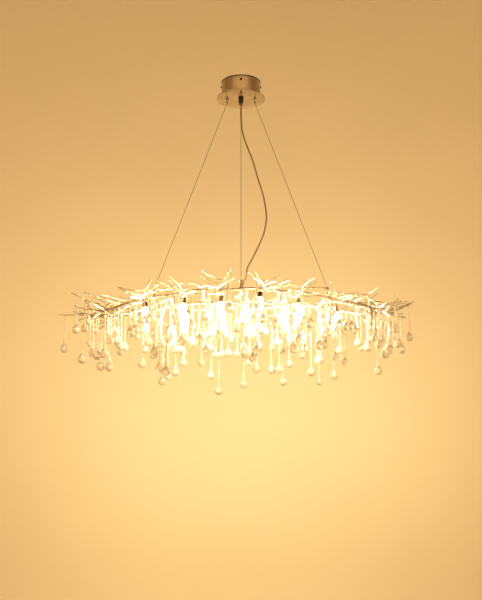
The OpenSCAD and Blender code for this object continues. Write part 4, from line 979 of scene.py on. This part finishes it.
def dropOf(corners, rings, masters, chance):
    s = dropSettings
    low, high = min(c.z for c in corners), max(c.z for c in corners)
    foot = [c for c in corners if c.z < low + s["footH"]]
    x = (min(c.x for c in foot) + max(c.x for c in foot)) / 2
    y = (min(c.y for c in foot) + max(c.y for c in foot)) / 2
    eyeZ = high - s["eyeR"] - 2 * s["glassR"]
    size = min(range(3), key=lambda n: abs(s["sizes"][n][1] - (eyeZ - low)))
    ring = min(rings, key=lambda n: (n[0].x - x) ** 2 + (n[0].y - y) ** 2)
    shape = bmesh.new()
    shape.from_mesh(masters[size])
    length = s["sizes"][size][1]
    bow, way = s["bow"] * chance.uniform(-1, 1), chance.uniform(0, 2 * pi)
    for v in shape.verts:  # a hand drawn stem isn't quite straight
        share = min(1, max(0, -v.co.z / length))
        v.co += bow * sin(pi * share) * Vector((cos(way), sin(way), 0))
    shape.transform(Matrix.Translation((x, y, eyeZ)) @ Matrix.Rotation(ring[2], 4, "Z"))
    return shape


def makeDrops():
    rings = [ringOf(corners) for corners in looseShapes("drop_rings")]
    s, chance, masters = dropSettings, random.Random(dropSettings["seed"]), []
    for d, length in s["sizes"]:
        mesh = bpy.data.meshes.new("dropMaster")
        shape = dropShape(d, length)
        shape.to_mesh(mesh)
        shape.free()
        masters.append(mesh)
    pieces = []
    for name, node in dropNodes.items():
        group = bmesh.new()
        for corners in looseShapes(node):
            addShape(group, dropOf(corners, rings, masters, chance))
        pieces.append(meshPiece(name, group, dropGlass, [node], sharp=180))
    for n in range(1, 10):
        node = "swing_drop_" + str(n)
        drop = dropOf(looseShapes(node)[0], rings, masters, chance)
        pieces.append(meshPiece("swingDrop" + str(n), drop, dropGlass, [node], node, 180))
    ringGroup = bmesh.new()
    for middle, r, way in rings:
        ring = wireRing(r, s["ringWireR"], s["ringSides"])
        addShape(ringGroup, ring, standAt(middle, (cos(way), sin(way), 0)))
    meshPiece("dropRings", ringGroup, satinSteel, ["drop_rings"], sharp=180)
    for piece in pieces:
        smooth = piece.modifiers.new("smooth", "SUBSURF")
        smooth.levels = smooth.render_levels = 1
    for mesh in masters:
        bpy.data.meshes.remove(mesh)


makeDrops()
print("drops made")


# Nodes inside the canopy and the stems keep their solid shape and get a finish
# the ceiling bracket's black finish is painted shadow of the gap between the canopy and the ceiling
keptNodes = {"ceiling_bracket": blackSteelAndGapShadow, "plate_screws": satinSteel, "grip_nuts": satinSteel,
             "terminal_block": blockPlastic, "terminal_screws": brass, "earth_terminal": brass,
             "canopy_leads": wireSheath, "gland_nut": darkNylonAndGapShadow, "stem_wires": clearJacket}


def finishKeptNodes():
    for node, material in keptNodes.items():
        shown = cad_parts[node]
        shown.data.materials.clear()
        shown.data.materials.append(material)


finishKeptNodes()
print("kept nodes finished")


# Studio: a round pale floor that curves up into a wall, and soft lights
studioSettings = {"floorZ": -2.4, "floorR": 3.6, "wallR": 4.4, "wallTop": 4.6, "cove": 0.8,
                  "paint": (0.86, 0.75, 0.58), "darker": 0.97, "sky": (1.0, 0.70, 0.36), "skyStrength": 0.27}
studioLights = [  # name, place, aim, size, watts, colour
    ("keyLight", (-2.2, -2.7, 1.4), (0, 0, -0.6), (2.6, 2.2), 7, (1.0, 0.78, 0.48)),
    ("frontWallLight", (0, -2.0, 2.5), (0, -4.4, 1.7), (4.2, 0.8), 62, (1.0, 0.76, 0.44)),
    ("wallLight", (0, 2.5, -0.55), (0, 4.4, -0.45), (1.2, 0.6), 32, (1.0, 0.83, 0.47)),
    ("ceilingLight", (0, 0.8, 2.6), (0, 4.3, 0.6), (3.0, 0.8), 28, (1.0, 0.71, 0.36)),
    ("rightLight", (2.3, 0.4, -0.2), (0, 0, -0.7), (0.6, 1.4), 12, (1.0, 0.78, 0.48)),
]


def makeStudio():
    s = studioSettings
    outline = [(0, s["floorZ"]), (s["floorR"], s["floorZ"])]
    for a in range(15, 91, 15):
        outline.append((s["floorR"] + s["cove"] * sinDeg(a), s["floorZ"] + s["cove"] * (1 - cosDeg(a))))
    outline.append((s["wallR"], s["wallTop"]))
    bowl = spunShape(outline, 96)
    mesh = bpy.data.meshes.new("studio")
    bowl.to_mesh(mesh)
    bowl.free()
    mesh.shade_smooth()
    studio = bpy.data.objects.new("studio", mesh)
    paint = newMaterial("studioPaint", {"Roughness": 0.9, "Specular IOR Level": 0.1})
    varyColour(paint, noiseOf(paint, 0.7, 2), tuple(s["darker"] * c for c in s["paint"]), s["paint"])
    mesh.materials.append(paint)
    bpy.context.scene.collection.objects.link(studio)
    for name, place, aim, size, watts, colour in studioLights:
        data = bpy.data.lights.new(name, "AREA")
        data.shape = "RECTANGLE"
        data.size, data.size_y = size
        data.energy = watts
        data.color = colour
        light = bpy.data.objects.new(name, data)
        light.location = place
        light.visible_camera = False
        light.visible_glossy = name != "keyLight"
        light.rotation_euler = (Vector(aim) - Vector(place)).to_track_quat("-Z", "Y").to_euler()
        bpy.context.scene.collection.objects.link(light)
    world = bpy.data.worlds.new("sky")
    bpy.context.scene.world = world
    world.use_nodes = True
    background = world.node_tree.nodes["Background"]
    background.inputs["Color"].default_value = (*s["sky"], 1)
    background.inputs["Strength"].default_value = s["skyStrength"]
    bpy.context.scene.view_settings.view_transform = "Standard"


makeStudio()
print("studio made")
